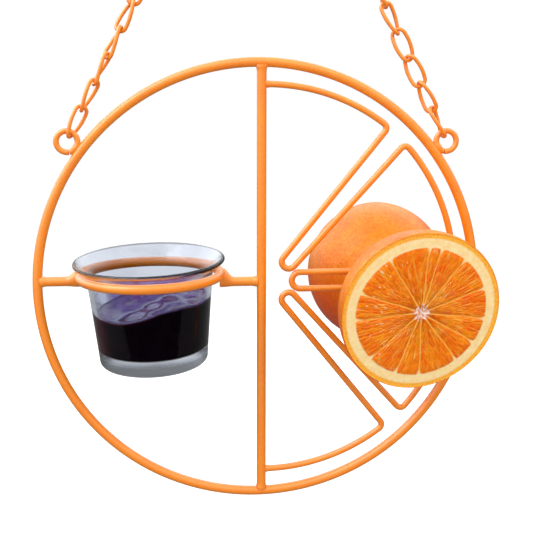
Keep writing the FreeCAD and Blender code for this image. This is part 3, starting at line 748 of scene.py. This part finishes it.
angle = full_turn(CUP_TURN)
foot = filled_in(rounded(JELLY_FOOT, [FOOT_ROUND]), 2.0)[1:]
# Height and wall radius depend on each other, so a first guess is worked out once more
wall_z = jelly_top(WALL_ABOUT * np.cos(angle), WALL_ABOUT * np.sin(angle))
wall_z = jelly_top(inner_wall(wall_z) * np.cos(angle), inner_wall(wall_z) * np.sin(angle))
wall_r = inner_wall(wall_z) + WETTED
rim = np.stack([wall_r, wall_z], axis=1)
side_rows = foot[-1] + (rim[None] - foot[-1]) * np.linspace(0, 1, 9)[1:, None, None]
top_r = wall_r[None] * (np.linspace(1.0, 0.02, 46) ** 0.8)[1:, None]
top_rows = np.stack([top_r, jelly_top(top_r * np.cos(angle), top_r * np.sin(angle))], axis=-1)
profile = np.concatenate([np.repeat(foot[:, None], CUP_TURN, axis=1), side_rows, top_rows])

is_top = np.zeros(profile.shape[:2])
is_top[-len(top_rows) - 1:] = 1
near_edge = 1 - np.clip((wall_z[None] - profile[..., 1]) / TOP_EDGE, 0, 1)
# Painted light: the side is made wine red towards the left, standing in for light shining through
# it
painted_light_at_left = np.clip(-np.cos(angle)[None] - 0.72, 0, 1)
thin_and_painted_light = np.clip((0.9 * near_edge + 2.8 * painted_light_at_left) * (1 - is_top), 0, 1)
jelly = in_cup("jelly_fill", round_axis(profile[..., 0], angle, profile[..., 1]),
               (JELLY_FLOOR, jelly_top(0.0, 0.0)), values={"open": is_top, "thin_and_painted_light": thin_and_painted_light})
stand_for(jelly, "feeder_frame", "grape_jelly", "grape_jelly")
print("the jelly is %.0f ml" % (jelly["volume"] / 1000))

# %% [markdown]
# ## Smears above the jelly
#
# Where jelly slid down the wall a thin film stays. It covers the back half of the wall from under
# the jelly's edge upwards. It is a closed skin a twentieth of a millimetre thick, and about as far
# off the glass. A number on each point says how much film is there: it fades at both ends and at
# the top. The material later breaks the film into runs.

# %% Smears
FILM_LOW, FILM_HIGH = -318.0, -304.0
FILM_ROWS, FILM_TURN = 40, 240
FILM_OFF, FILM_THICK = 0.06, 0.05
FILM_MIDDLE, FILM_HALF = math.radians(70), math.radians(84)
FADE_ROUND, FADE_UP = 0.22, 0.12

z = np.linspace(FILM_LOW, FILM_HIGH, FILM_ROWS)[:, None]
inside = inner_wall(z) - FILM_OFF
film_r = np.concatenate([inside, (inside - FILM_THICK)[::-1]]) + np.zeros(FILM_TURN)
film_z = np.concatenate([z, z[::-1]]) + np.zeros(FILM_TURN)
film_angle = np.repeat(full_turn(FILM_TURN)[None, :], 2 * FILM_ROWS, axis=0)
share_up = (film_z - FILM_LOW) / (FILM_HIGH - FILM_LOW)
off_middle = np.abs(film_angle - FILM_MIDDLE)
off_middle = np.minimum(off_middle, 2 * np.pi - off_middle)
amount = (np.clip((FILM_HALF - off_middle) / FADE_ROUND, 0, 1)
          * np.clip((1 - share_up) / FADE_UP, 0, 1))
round_share = np.concatenate([film_angle / (2 * np.pi), np.ones((2 * FILM_ROWS, 1))], axis=1)
height_share = np.concatenate([share_up, share_up[:, :1]], axis=1)
film = in_cup("jelly_film", round_axis(film_r, film_angle, film_z), wrap=True,
              uv=(round_share, height_share), values={"amount": amount})
stand_for(film, "feeder_frame", "grape_jelly")

# %% [markdown]
# ## The orange halves
#
# A cut orange shows five things: oily rind with pores, a thin zest line, white pith, segments with
# thin walls between them, and a white core. Rind and face are one closed surface. Its rows run
# from the middle of the dome over the cut edge to the middle of the face, and its columns start on
# a segment wall, where the pattern's seam can't be seen. The distance to the nearest wall is
# worked out for every point, both to shape the pulp and to colour it. Each half droops on the
# spike and is turned by its own small angle, and no two fruits are one size.

# %% Orange halves
ORANGE = 43.3
CENTRES = {"front_orange": (81.3, -47.5, -307.6), "rear_orange": (77.72, 47.5, -302.59)}
TURNS = {"front_orange": (math.radians(9), math.radians(6), 1.02),
         "rear_orange": (math.radians(6), 0.0, 1.0)}
WALLS = {"front_orange": [123, 88, 77, 53, 20, -8, -31, -52, -87, -109, -137, -176, 160],
         "rear_orange": [14, 47, 80, 106, 139, 172, 201, 237, 266, 301, 338]}
FRUIT_TURN = 480
LUMPY = 0.006
STEM_DENT, STEM_REACH = 0.9, 0.07
CUT_EDGE = 0.5
PULP = 0.835


def smooth_step(x):
    """3 x squared - 2 x cubed between 0 and 1."""
    x = np.clip(x, 0, 1)
    return x * x * (3 - 2 * x)


def ripple(angle, height, seed):
    """Broad low bumps round a fruit: a few sine waves with seeded phases, within about one."""
    random = np.random.default_rng(seed)
    total = 0
    for turns in range(2, 7):
        phase, lift = random.uniform(0, 2 * np.pi, 2)
        total = total + np.sin(turns * angle + phase) * np.cos(turns * height + lift) / turns
    return total


def rind_rows(angle, edge_r, seed):
    """Radius and depth of the rows over the dome, dented at the stem, and round the cut edge."""
    lift = np.radians(np.linspace(88.5, 1.2, 62))[:, None]
    bump = 1 + LUMPY * ripple(angle, 2 * lift, seed) * np.cos(lift) ** 0.5
    stem = np.exp(-((math.pi / 2 - lift) / STEM_REACH) ** 2)
    edge_turn = np.radians(np.array([25, 60, 85]))[:, None]
    radius = [ORANGE * np.cos(lift) * bump, edge_r - CUT_EDGE * (1 - np.cos(edge_turn))]
    depth = [ORANGE * np.sin(lift) - STEM_DENT * stem, CUT_EDGE - CUT_EDGE * np.sin(edge_turn)]
    return np.concatenate(radius), np.concatenate(depth) + 0 * angle


def face_rows(angle, edge_r, walls, seed):
    """Radius, depth and pulp mask of the rows from the cut edge to the middle of the face.

    Each wall is a ray that wanders a little. How far inside a point is, is the least of its
    distances to the nearest wall, to the pith and to the core. The pulp bulges with it.
    """
    random = np.random.default_rng(seed)
    share = np.linspace(1, 0.012, 128)[:, None]
    radius = (edge_r - 0.55) * share
    wander = 0.55 * np.sin(radius / 6.0 + random.uniform(0, 6.28)) * share
    off = angle[None, :, None] - np.radians(walls)[None, None, :]
    across = np.abs(radius[..., None] * np.sin(off) + wander[..., None])
    nearest = np.where(np.cos(off) > 0, across, 99.0).min(axis=2)
    to_pith = ORANGE * PULP * (1 + 0.008 * ripple(angle, 0 * angle, seed + 5)) - radius
    thick = 0.03 + 1.8 * np.exp(-np.abs(to_pith) / 1.3) + 0.35 * np.exp(-radius / 4.0)
    core = 3.1 + (1.1 * np.sin(5 * angle + 0.7) + 0.7 * np.sin(8 * angle + 2.0))
    inside = np.minimum(nearest - thick, (to_pith - 0.3) * 0.8)
    inside = np.minimum(inside, radius - core)
    pulp = smooth_step(inside / 0.5)
    pillow = smooth_step(inside / 2.2)
    hollow = smooth_step((core - 0.3 - radius) / 1.2)
    grain = 0.10 * np.sin(angle * 61 + radius * 1.7) * np.sin(radius * 2.3 + angle * 23) * pulp
    depth = 0.15 - 0.45 * pillow - grain + 0.9 * hollow + 0.25 * smooth_step((share - 0.9) / 0.1)
    return radius, depth - 0.12 * smooth_step((share - 0.93) / 0.05) * (1 - pulp), pulp


def orange_half(name, side, seed):
    """Side is -1 for the front half, whose face looks to the front, and 1 for the rear half.

    A point is the centre + x * right + z * up the face + depth * into the fruit.
    """
    centre, walls = np.array(CENTRES[name]), WALLS[name]
    angle = math.radians(walls[0]) + np.linspace(0, 2 * np.pi, FRUIT_TURN + 1)
    edge_r = ORANGE * (1 + LUMPY * ripple(angle, 0 * angle, seed))[None, :]
    skin_r, skin_depth = rind_rows(angle, edge_r, seed)
    face_r, face_depth, face_pulp = face_rows(angle, edge_r, walls, seed)
    radius = np.concatenate([skin_r, face_r])
    depth = np.concatenate([skin_depth, face_depth])
    pulp = np.concatenate([0 * skin_r, face_pulp])
    rim = np.concatenate([0 * skin_r + 1, face_r / ORANGE])

    droop, yaw, grown = TURNS[name]
    c, s = math.cos(yaw), math.sin(yaw)
    about_z = np.array([[c, -s, 0], [s, c, 0], [0, 0, 1.0]])
    right, up_face, inwards = (grown * (about_z @ way) for way in (
        RIGHT, [0, side * math.sin(droop), math.cos(droop)],
        [0, -side * math.cos(droop), math.sin(droop)]))
    grid = (centre + (radius * np.cos(angle))[..., None] * right
            + (radius * np.sin(angle))[..., None] * up_face + depth[..., None] * inwards)
    poles = (centre + (ORANGE - STEM_DENT) * inwards, centre + face_depth[-1, 0] * inwards)
    turn = np.repeat(np.linspace(0, 1, FRUIT_TURN + 1)[None, :], len(radius), axis=0)
    half = surface(name, grid[:, :-1], poles=poles, uv=(rim, turn),
                   values={"pulp": pulp[:, :-1], "rim": rim[:, :-1]})
    on_face = np.ones(len(half.data.polygons), np.int32)
    on_face[:(len(skin_r) - 1) * FRUIT_TURN] = 0
    on_face[-2 * FRUIT_TURN:-FRUIT_TURN] = 0
    stand_for(half, "feeder_frame", "orange_fruit", name + "_half")
    return half, on_face


halves = [orange_half("front_orange", -1, 3), orange_half("rear_orange", 1, 8)]

# %% [markdown]
# ## Tools for materials
#
# A material is a small tree of nodes. Short functions place a node, do sums, mix two colours,
# move a range and make noise, so that each finish below reads like a recipe. Colours are written
# as they look on a screen, from 0 to 255, and turned into the linear numbers that a shader wants.

# %% Material tools
WHITE = (1, 1, 1, 1)


def paint(red, green, blue):
    """Screen to linear colour: ((c + 0.055) / 1.055) to the power 2.4, low values c / 12.92."""
    c = np.array([red, green, blue]) / 255
    linear = np.where(c > 0.04045, ((c + 0.055) / 1.055) ** 2.4, c / 12.92)
    return (*linear.tolist(), 1.0)


def feed(tree, node, inputs):
    """Feeds each named input of a node a socket or a plain value."""
    for key, value in inputs.items():
        if isinstance(value, bpy.types.NodeSocket):
            tree.links.new(value, node.inputs[key])
        else:
            node.inputs[key].default_value = value
    return node.outputs


def put(tree, kind, inputs=None, **settings):
    """Adds a node, sets its options, feeds its inputs, and gives its outputs."""
    node = tree.nodes.new("ShaderNode" + kind)
    for key, value in settings.items():
        setattr(node, key, value)
    return feed(tree, node, inputs or {})


def mix(tree, share, first, second, how="MIX"):
    """Mixes two colours, each a socket or a linear colour."""
    return put(tree, "Mix", {0: share, 6: first, 7: second}, data_type="RGBA", blend_type=how)[2]


def math_node(tree, how, first, second=0.0):
    """One sum on two numbers."""
    return put(tree, "Math", {0: first, 1: second}, operation=how)[0]


def times(tree, first, second):
    """The product of two values."""
    return math_node(tree, "MULTIPLY", first, second)


def plus(tree, *values):
    """The values added up."""
    total = values[0]
    for value in values[1:]:
        total = math_node(tree, "ADD", total, value)
    return total


def spread(tree, value, low, high, to_low=0.0, to_high=1.0):
    """Moves the range low..high to another range, and holds it there."""
    return put(tree, "MapRange", {"Value": value, "From Min": low, "From Max": high,
                                  "To Min": to_low, "To Max": to_high})[0]


def noise(tree, at, scale, detail, roughness=0.5):
    """Smooth noise from 0 to 1, about as many waves to the metre as scale says."""
    return put(tree, "TexNoise", {"Vector": at, "Scale": scale, "Detail": detail,
                                  "Roughness": roughness})["Fac"]


def stretched(tree, at, across, along):
    """The mesh's two shares multiplied, so that a pattern on them is drawn long."""
    return put(tree, "Mapping", {"Vector": at, "Scale": (across, along, 1.0)})[0]


def number_on(tree, name):
    """The number of that name on the mesh's points."""
    return put(tree, "Attribute", attribute_name=name)["Fac"]


def relief(tree, height, depth_mm, normal=None):
    """A bump whose full height is depth_mm."""
    inputs = {"Height": height, "Strength": 1.0, "Distance": depth_mm * MM}
    if normal is not None:
        inputs["Normal"] = normal
    return put(tree, "Bump", inputs)[0]


def new_material(name):
    """A material, its tree, its Principled shader and the object's coordinates."""
    material = bpy.data.materials.new(name)
    material.use_nodes = True
    tree = material.node_tree
    tree.nodes.clear()
    shader = tree.nodes.new("ShaderNodeBsdfPrincipled")
    put(tree, "OutputMaterial", {"Surface": shader.outputs[0]})
    return material, tree, shader, put(tree, "TexCoord")["Object"]


def new_group(name, inputs, outputs):
    """A node group with named sockets: pairs of a name and what kind of socket it is."""
    group = bpy.data.node_groups.new(name, "ShaderNodeTree")
    for way, sockets in (("INPUT", inputs), ("OUTPUT", outputs)):
        for title, kind in sockets:
            group.interface.new_socket(title, in_out=way, socket_type="NodeSocket" + kind)
    ins = group.nodes.new("NodeGroupInput").outputs
    outs = group.nodes.new("NodeGroupOutput")
    return group, ins, outs


# %% [markdown]
# ## Two effects that several finishes share
#
# Nothing real has one even colour. `tone patches` drifts between two colours over a distance given
# in millimetres, and every finish uses it. `pits` makes small round dents, for the pores in rind
# and zest. Both are node groups, built once and placed in each material with its own numbers.

# %% Shared node groups
patches, ins, outs = new_group("tone patches", [("Place", "Vector"), ("Size mm", "Float"),
                                                ("Light", "Color"), ("Deep", "Color")],
                               [("Colour", "Color"), ("Mask", "Float")])
scale = math_node(patches, "DIVIDE", 1000.0, ins["Size mm"])
mask = spread(patches, noise(patches, ins["Place"], scale, 4.0, 0.6), 0.32, 0.68)
feed(patches, outs, {"Colour": mix(patches, mask, ins["Light"], ins["Deep"]), "Mask": mask})

pits, ins, outs = new_group("pits", [("Place", "Vector"), ("Spacing mm", "Float"),
                                     ("Width", "Float")],
                            [("Height", "Float"), ("Mask", "Float")])
scale = math_node(pits, "DIVIDE", 1000.0, ins["Spacing mm"])
cells = put(pits, "TexVoronoi", {"Vector": ins["Place"], "Scale": scale, "Randomness": 0.9})
height = put(pits, "MapRange", {"Value": cells["Distance"], "From Min": 0.05,
                                "From Max": ins["Width"]}, interpolation_type="SMOOTHSTEP")[0]
feed(pits, outs, {"Height": height, "Mask": math_node(pits, "SUBTRACT", 1.0, height)})


def two_tones(tree, place, size_mm, light, deep):
    """Colour and mask of tone patches of this size, between two screen colours."""
    return put(tree, "Group", node_tree=patches, inputs={
        "Place": place, "Size mm": size_mm, "Light": paint(*light), "Deep": paint(*deep)})


def pores(tree, place, spacing_mm, width):
    """Height and mask of pits this far apart."""
    return put(tree, "Group", node_tree=pits, inputs={
        "Place": place, "Spacing mm": spacing_mm, "Width": width})


print("shared groups:", patches.name, "and", pits.name)

# %% [markdown]
# ## Orange powder coat
#
# The coat is sprayed as powder and baked, which leaves a satin skin with a faint orange peel. The
# colour drifts a little and the gloss drifts with it. A clear layer, a little smoother than the
# colour under it, brightens the middle of each soft highlight.

# %% Coat
coat, tree, shader, place = new_material("baked coat")
drift = two_tones(tree, place, 22.0, (255, 148, 14), (253, 136, 3))
fine = two_tones(tree, place, 2.4, (255, 255, 255), (248, 242, 236))
feed(tree, shader, {
    "Base Color": mix(tree, 1.0, drift["Colour"], fine["Colour"], "MULTIPLY"),
    "Roughness": spread(tree, drift["Mask"], 0, 1, 0.36, 0.44),
    "IOR": 1.5,
    "Coat Weight": 1.0,
    "Coat Roughness": 0.33,
    "Normal": relief(tree, noise(tree, place, 1100.0, 2.0), 0.008)})
for piece in coated:
    piece.data.materials.append(coat)
print("coated pieces:", len(coated))

# %% [markdown]
# ## Glass
#
# Pressed glass bends light and is never quite even: the mould leaves slow waves. Its blue grey
# comes from the base colour, which a transmitting shader multiplies in each time a ray goes
# through the surface. The thick base is darker and frosted, by the number on its points. The
# index is less than real glass has, because the wall in the photograph mirrors and bends little.
# Rendered glass throws a full dark shadow, because a lamp isn't looked for through it, so for
# shadow rays alone Alpha is low, and what is behind the wall stays lit.

# %% Glass
glass, tree, shader, place = new_material("pressed glass")
haze = two_tones(tree, place, 22.0, (212, 218, 230), (196, 203, 216))
low = number_on(tree, "base")
smooth = spread(tree, haze["Mask"], 0, 1, 0.0, 0.03)
shadow = put(tree, "LightPath")["Is Shadow Ray"]
feed(tree, shader, {
    "Base Color": mix(tree, low, haze["Colour"], paint(112, 116, 121)),
    "Roughness": plus(tree, smooth, times(tree, low, 0.3)),
    "IOR": 1.36,
    "Alpha": spread(tree, shadow, 0, 1, 1.0, 0.12),
    "Transmission Weight": 1.0,
    "Normal": relief(tree, noise(tree, place, 90.0, 1.0), 0.12)})
cup.data.materials.append(glass)
print("glass on", cup.name)

# %% [markdown]
# ## Grape jelly
#
# Jelly this deep lets nearly no light back out, so it could be a clear body with a dark volume,
# but then each wall that a ray crosses mirrors some of the room and the black turns grey. A dark
# surface just inside the glass keeps it black. It gets wine red near its top edge, where it is at
# its thinnest, and towards the left, where that red is painted light standing in for the light
# that shines through from that side. Only the top is wet and open, so a mask on the mesh gives the
# clear coat to the top alone; the lavender streaks on that top are a painted reflection of the
# pale film on the wall. The film on the wall is a clear skin that colours the light behind it,
# broken into runs that slid down.

# %% Jelly and film
jelly_look, tree, shader, place = new_material("grape jelly")
soft = two_tones(tree, place, 5.0, (14, 2, 12), (3, 0, 4))
# Painted reflection: the open top's lavender streaks stand in for the pale film mirrored in it
painted_film_reflection = two_tones(tree, place, 7.0, (104, 84, 142), (70, 40, 84))
top = number_on(tree, "open")
# Wine red on the side: the jelly's own colour near the top edge, painted light at the left
side_colour = mix(tree, number_on(tree, "thin_and_painted_light"), soft["Colour"], paint(84, 8, 34))
feed(tree, shader, {
    "Base Color": mix(tree, top, side_colour, painted_film_reflection["Colour"]),
    "Roughness": spread(tree, soft["Mask"], 0, 1, 0.10, 0.22),
    "IOR": 1.05,
    "Coat Roughness": 0.07,
    "Coat Weight": top,
    "Normal": relief(tree, noise(tree, place, 260.0, 3.0), 0.06)})
jelly.data.materials.append(jelly_look)

film_look, tree, shader, place = new_material("jelly film")
runs = noise(tree, stretched(tree, put(tree, "TexCoord")["UV"], 60.0, 1.6), 1.0, 4.0, 0.6)
blots = noise(tree, place, 130.0, 3.0)
amount = number_on(tree, "amount")
streaky = mix(tree, spread(tree, runs, 0.34, 0.66), paint(188, 168, 214), paint(146, 120, 186))
smeared = mix(tree, spread(tree, blots, 0.56, 0.66), streaky, paint(150, 52, 92))
film_edge = times(tree, spread(tree, amount, 0.9, 0.35), spread(tree, amount, 0.02, 0.2))
smeared = mix(tree, film_edge, smeared, paint(140, 46, 84))
feed(tree, shader, {
    "Base Color": mix(tree, amount, paint(252, 251, 254), smeared),
    "Roughness": spread(tree, blots, 0.3, 0.7, 0.02, 0.12),
    "IOR": 1.05,
    "Transmission Weight": 1.0})
film.data.materials.append(film_look)
print("jelly and film finished")

# %% [markdown]
# ## Orange: rind, pith and pulp
#
# Rind is glossy and pitted, and its colour drifts from yellow orange to deep orange. Towards the
# lower left it is painted redder and darker, a painted shade on the side turned from the light.
# The cut face is painted by the numbers that the mesh carries: `rim` is how far out a point is,
# `pulp` is one inside the segments and nothing in walls, pith and core.
# Juice sacs are long cells that point at the core, so the cell pattern runs on the mesh's own
# coordinates, stretched along the radius. Pale and deep fibres lie over the cells, and small white
# specks towards the left of the face are painted highlights on the wet juice.

# %% Rind
rind, tree, shader, place = new_material("orange rind")
broad = two_tones(tree, place, 26.0, (255, 172, 22), (251, 132, 4))
spots = two_tones(tree, place, 1.9, (255, 255, 255), (242, 206, 160))
pore = pores(tree, place, 1.5, 0.42)
colour = mix(tree, 1.0, broad["Colour"], spots["Colour"], "MULTIPLY")
axes = put(tree, "SeparateXYZ", {0: place})
# Painted shade: the lower left of each dome is mixed towards deep red orange by position
painted_shade_low_left = plus(tree, times(tree, axes["X"], 0.6), times(tree, axes["Z"], 0.8))
colour = mix(tree, spread(tree, painted_shade_low_left, -0.207, -0.238, 0.0, 0.85), colour, paint(228, 58, 2))
slow = relief(tree, noise(tree, place, 320.0, 2.0), 0.25)
feed(tree, shader, {
    "Base Color": mix(tree, times(tree, pore["Mask"], 0.3), colour, paint(225, 88, 4)),
    "Roughness": spread(tree, spots["Mask"], 0, 1, 0.32, 0.46),
    "Specular IOR Level": 0.35,
    "Coat Weight": 0.15,
    "Coat Roughness": 0.3,
    "Normal": relief(tree, pore["Height"], 0.16, slow)})

# %% Juice sacs
flesh, tree, shader, place = new_material("cut orange")
along = put(tree, "TexCoord")["UV"]
wobble = put(tree, "TexNoise", {"Vector": place, "Scale": 260.0, "Detail": 1.0})["Color"]
wobbled = put(tree, "MixRGB", {"Fac": 0.10, "Color1": stretched(tree, along, 7.5, 104.0),
                               "Color2": wobble}, blend_type="LINEAR_LIGHT")[0]
cell_inputs = {"Vector": wobbled, "Scale": 1.0, "Randomness": 1.0}
sacs = put(tree, "TexVoronoi", cell_inputs, voronoi_dimensions="2D")
skins = put(tree, "TexVoronoi", cell_inputs, voronoi_dimensions="2D",
            feature="DISTANCE_TO_EDGE")["Distance"]
fibres = noise(tree, stretched(tree, along, 4.5, 120.0), 1.0, 3.0)
# Painted highlight: white specks on the juice, strongest towards the left where the key lamp is
highlight_specks = noise(tree, stretched(tree, along, 11.0, 96.0), 1.0, 1.0)
east = put(tree, "SeparateXYZ", {0: place})["X"]
painted_highlight = times(tree, spread(tree, highlight_specks, 0.66, 0.72), spread(tree, east, 0.1, 0.06))
deep = two_tones(tree, place, 9.0, (255, 255, 255), (246, 206, 160))
rim = number_on(tree, "rim")

juice = mix(tree, put(tree, "SeparateColor", {"Color": sacs["Color"]})["Red"],
            paint(246, 118, 2), paint(255, 158, 14))
for share, tint in ((times(tree, spread(tree, skins, 0.0, 0.12, 1.0, 0.0), 0.30), (255, 190, 74)),
                    (spread(tree, fibres, 0.57, 0.70, 0.0, 0.8), (255, 204, 104)),
                    (spread(tree, fibres, 0.42, 0.30, 0.0, 0.6), (226, 88, 4)),
                    (times(tree, painted_highlight, 0.8), (255, 238, 204))):
    juice = mix(tree, share, juice, paint(*tint))
juice = mix(tree, 1.0, juice, deep["Colour"], "MULTIPLY")
outer = spread(tree, rim, 0.55, 0.80)
juice = mix(tree, times(tree, outer, 0.30), juice, paint(236, 100, 8))

# %% Walls, pith, core and zest
pulp = number_on(tree, "pulp")
pith = two_tones(tree, place, 2.5, (253, 226, 170), (247, 208, 140))
crumbs = two_tones(tree, place, 1.5, (255, 250, 238), (216, 100, 36))
wall = mix(tree, spread(tree, rim, 0.72, 0.82), paint(255, 180, 72), pith["Colour"])
wall = mix(tree, spread(tree, rim, 0.13, 0.09), wall, crumbs["Colour"])
zest = mix(tree, pores(tree, place, 1.1, 0.4)["Mask"], paint(252, 176, 52), paint(220, 100, 12))
wall = mix(tree, spread(tree, rim, 0.925, 0.945), wall, zest)
rough = relief(tree, noise(tree, place, 700.0, 3.0), 0.10)
bulge = times(tree, spread(tree, skins, 0.0, 0.35), pulp)
feed(tree, shader, {
    "Base Color": mix(tree, pulp, wall, juice),
    "Roughness": spread(tree, pulp, 0, 1, 0.6, 0.16),
    "IOR": 1.36,
    "Subsurface Weight": 0.25,
    "Subsurface Radius": (1.0, 0.45, 0.12),
    "Subsurface Scale": 0.003,
    "Normal": relief(tree, bulge, 0.35, rough)})
for half, on_face in halves:
    half.data.materials.append(rind)
    half.data.materials.append(flesh)
    half.data.polygons.foreach_set("material_index", on_face)
    half.data.update()
print("fruit finished")

# %% [markdown]
# ## Light, floor and backdrop
#
# The feeder hangs in front of plain white. The white is what the camera sees. It is not extra
# light: rays that have left a matt surface meet a dimmer room, so colours render about as they are
# written. Glass would look like nothing at all in an even white room. Its edges show because they
# bend the view to where the room is darker, so through glass the world is white at the back and
# the front, a little less so overhead, and grey at the sides and below. Mirror images get another
# room again: bright overhead and at the left, nearly dark elsewhere. That keeps the jelly black
# and gives the rods one clear highlight.
#
# A large soft lamp at the upper left is the key. A small fill at the right front and a lamp far
# behind light what the key leaves dark, and neither shows in gloss or through glass. A pale floor
# well below keeps the shadow.

# %% World
scene = bpy.context.scene
scene.view_settings.view_transform = "Standard"


def ray_kinds(tree):
    """Masks of the rays that see the set: camera, straight through glass, and mirrored.

    A ray that has left a matt surface lights the object, whatever glass it then goes through.
    """
    path = put(tree, "LightPath")
    fresh = math_node(tree, "LESS_THAN", path["Diffuse Depth"], 0.5)
    through = times(tree, path["Is Transmission Ray"], fresh)
    return path["Is Camera Ray"], through, times(tree, path["Is Glossy Ray"], fresh)


world = bpy.data.worlds.new("studio")
scene.world = world
world.use_nodes = True
tree = world.node_tree
tree.nodes.clear()
heading = put(tree, "SeparateXYZ", {0: put(tree, "TexCoord")["Generated"]})
up, to_back = heading["Z"], heading["Y"]
room = plus(tree, 0.30, spread(tree, up, -0.4, 0.8, 0.0, 0.36),
            spread(tree, to_back, 0.0, -0.9, 0.0, 0.62))
overhead = spread(tree, up, 0.10, 0.55, 0.0, 0.85)
back_or_front = spread(tree, math_node(tree, "ABSOLUTE", to_back), 0.72, 0.92)
at_left = times(tree, spread(tree, heading["X"], -0.15, -0.8), spread(tree, up, -0.5, 0.2))
in_mirror = plus(tree, 0.04, times(tree, overhead, 2.4),
                 times(tree, spread(tree, to_back, 0.72, 0.92), 0.15), times(tree, at_left, 2.0))
in_glass = math_node(tree, "MAXIMUM", math_node(tree, "MAXIMUM", overhead, back_or_front), 0.6)
by_camera, through, mirrored = ray_kinds(tree)
seen = plus(tree, by_camera, through, mirrored)
strength = plus(tree, by_camera, times(tree, through, in_glass), times(tree, mirrored, in_mirror),
                times(tree, math_node(tree, "SUBTRACT", 1.0, seen), room))
sky = put(tree, "Background", {"Color": WHITE, "Strength": strength})
put(tree, "OutputWorld", {"Surface": sky[0]})

# %% Lamps
LAMPS_AIM = np.array([0.0, 0.0, -0.30])


def softbox(name, place, size, watts, hidden=False):
    """A square lamp at a place in metres that looks at the feeder's middle.

    A hidden one lights matt surfaces but shows neither in gloss nor through glass.
    """
    data = bpy.data.lights.new(name, "AREA")
    data.shape = "RECTANGLE"
    data.size = data.size_y = size
    data.energy = watts
    z = unit(np.array(place) - LAMPS_AIM)
    x = unit(np.cross(UP, z))
    lamp = set_up(bpy.data.objects.new(name, data), x, np.cross(z, x), z, place)
    lamp.visible_glossy = lamp.visible_transmission = not hidden


softbox("key", (-0.95, -0.55, 0.85), 1.1, 12.5)
softbox("fill", (0.75, -0.85, 0.35), 0.6, 4.0, hidden=True)
softbox("back", (0.1, 1.6, 0.2), 0.6, 13.0, hidden=True)

# The black jelly shows every mirror image in the glass, so the two rods beside it cast none
for rod in (ring, bar):
    rod.visible_glossy = False

# %% Floor
FLOOR_X, FLOOR_FRONT, FLOOR_BACK, FLOOR_Z = 8, -0.4, 7.6, -0.70

mesh = bpy.data.meshes.new("floor")
mesh.from_pydata([(-FLOOR_X, FLOOR_FRONT, FLOOR_Z), (FLOOR_X, FLOOR_FRONT, FLOOR_Z),
                  (FLOOR_X, FLOOR_BACK, FLOOR_Z), (-FLOOR_X, FLOOR_BACK, FLOOR_Z)],
                 [], [(0, 1, 2, 3)])
plane = bpy.data.objects.new("floor", mesh)
scene.collection.objects.link(plane)
floor_look = bpy.data.materials.new("pale floor")
floor_look.use_nodes = True
tree = floor_look.node_tree
tree.nodes.clear()
position = put(tree, "SeparateXYZ", {0: put(tree, "NewGeometry")["Position"]})
far = math_node(tree, "ABSOLUTE", position["Y"])
by_camera, through, _ = ray_kinds(tree)
bright = plus(tree, by_camera, times(tree, through, spread(tree, far, 1.35, 1.75, 0.40, 1.0)))
matte = put(tree, "BsdfDiffuse", {"Color": mix(tree, bright, paint(110, 110, 110),
                                               paint(200, 200, 200))})
lit = put(tree, "Emission", {"Color": WHITE, "Strength": times(tree, bright, 0.58)})
put(tree, "OutputMaterial", {"Surface": put(tree, "AddShader", {0: matte[0], 1: lit[0]})[0]})
mesh.materials.append(floor_look)
print("lamps, floor and world set")
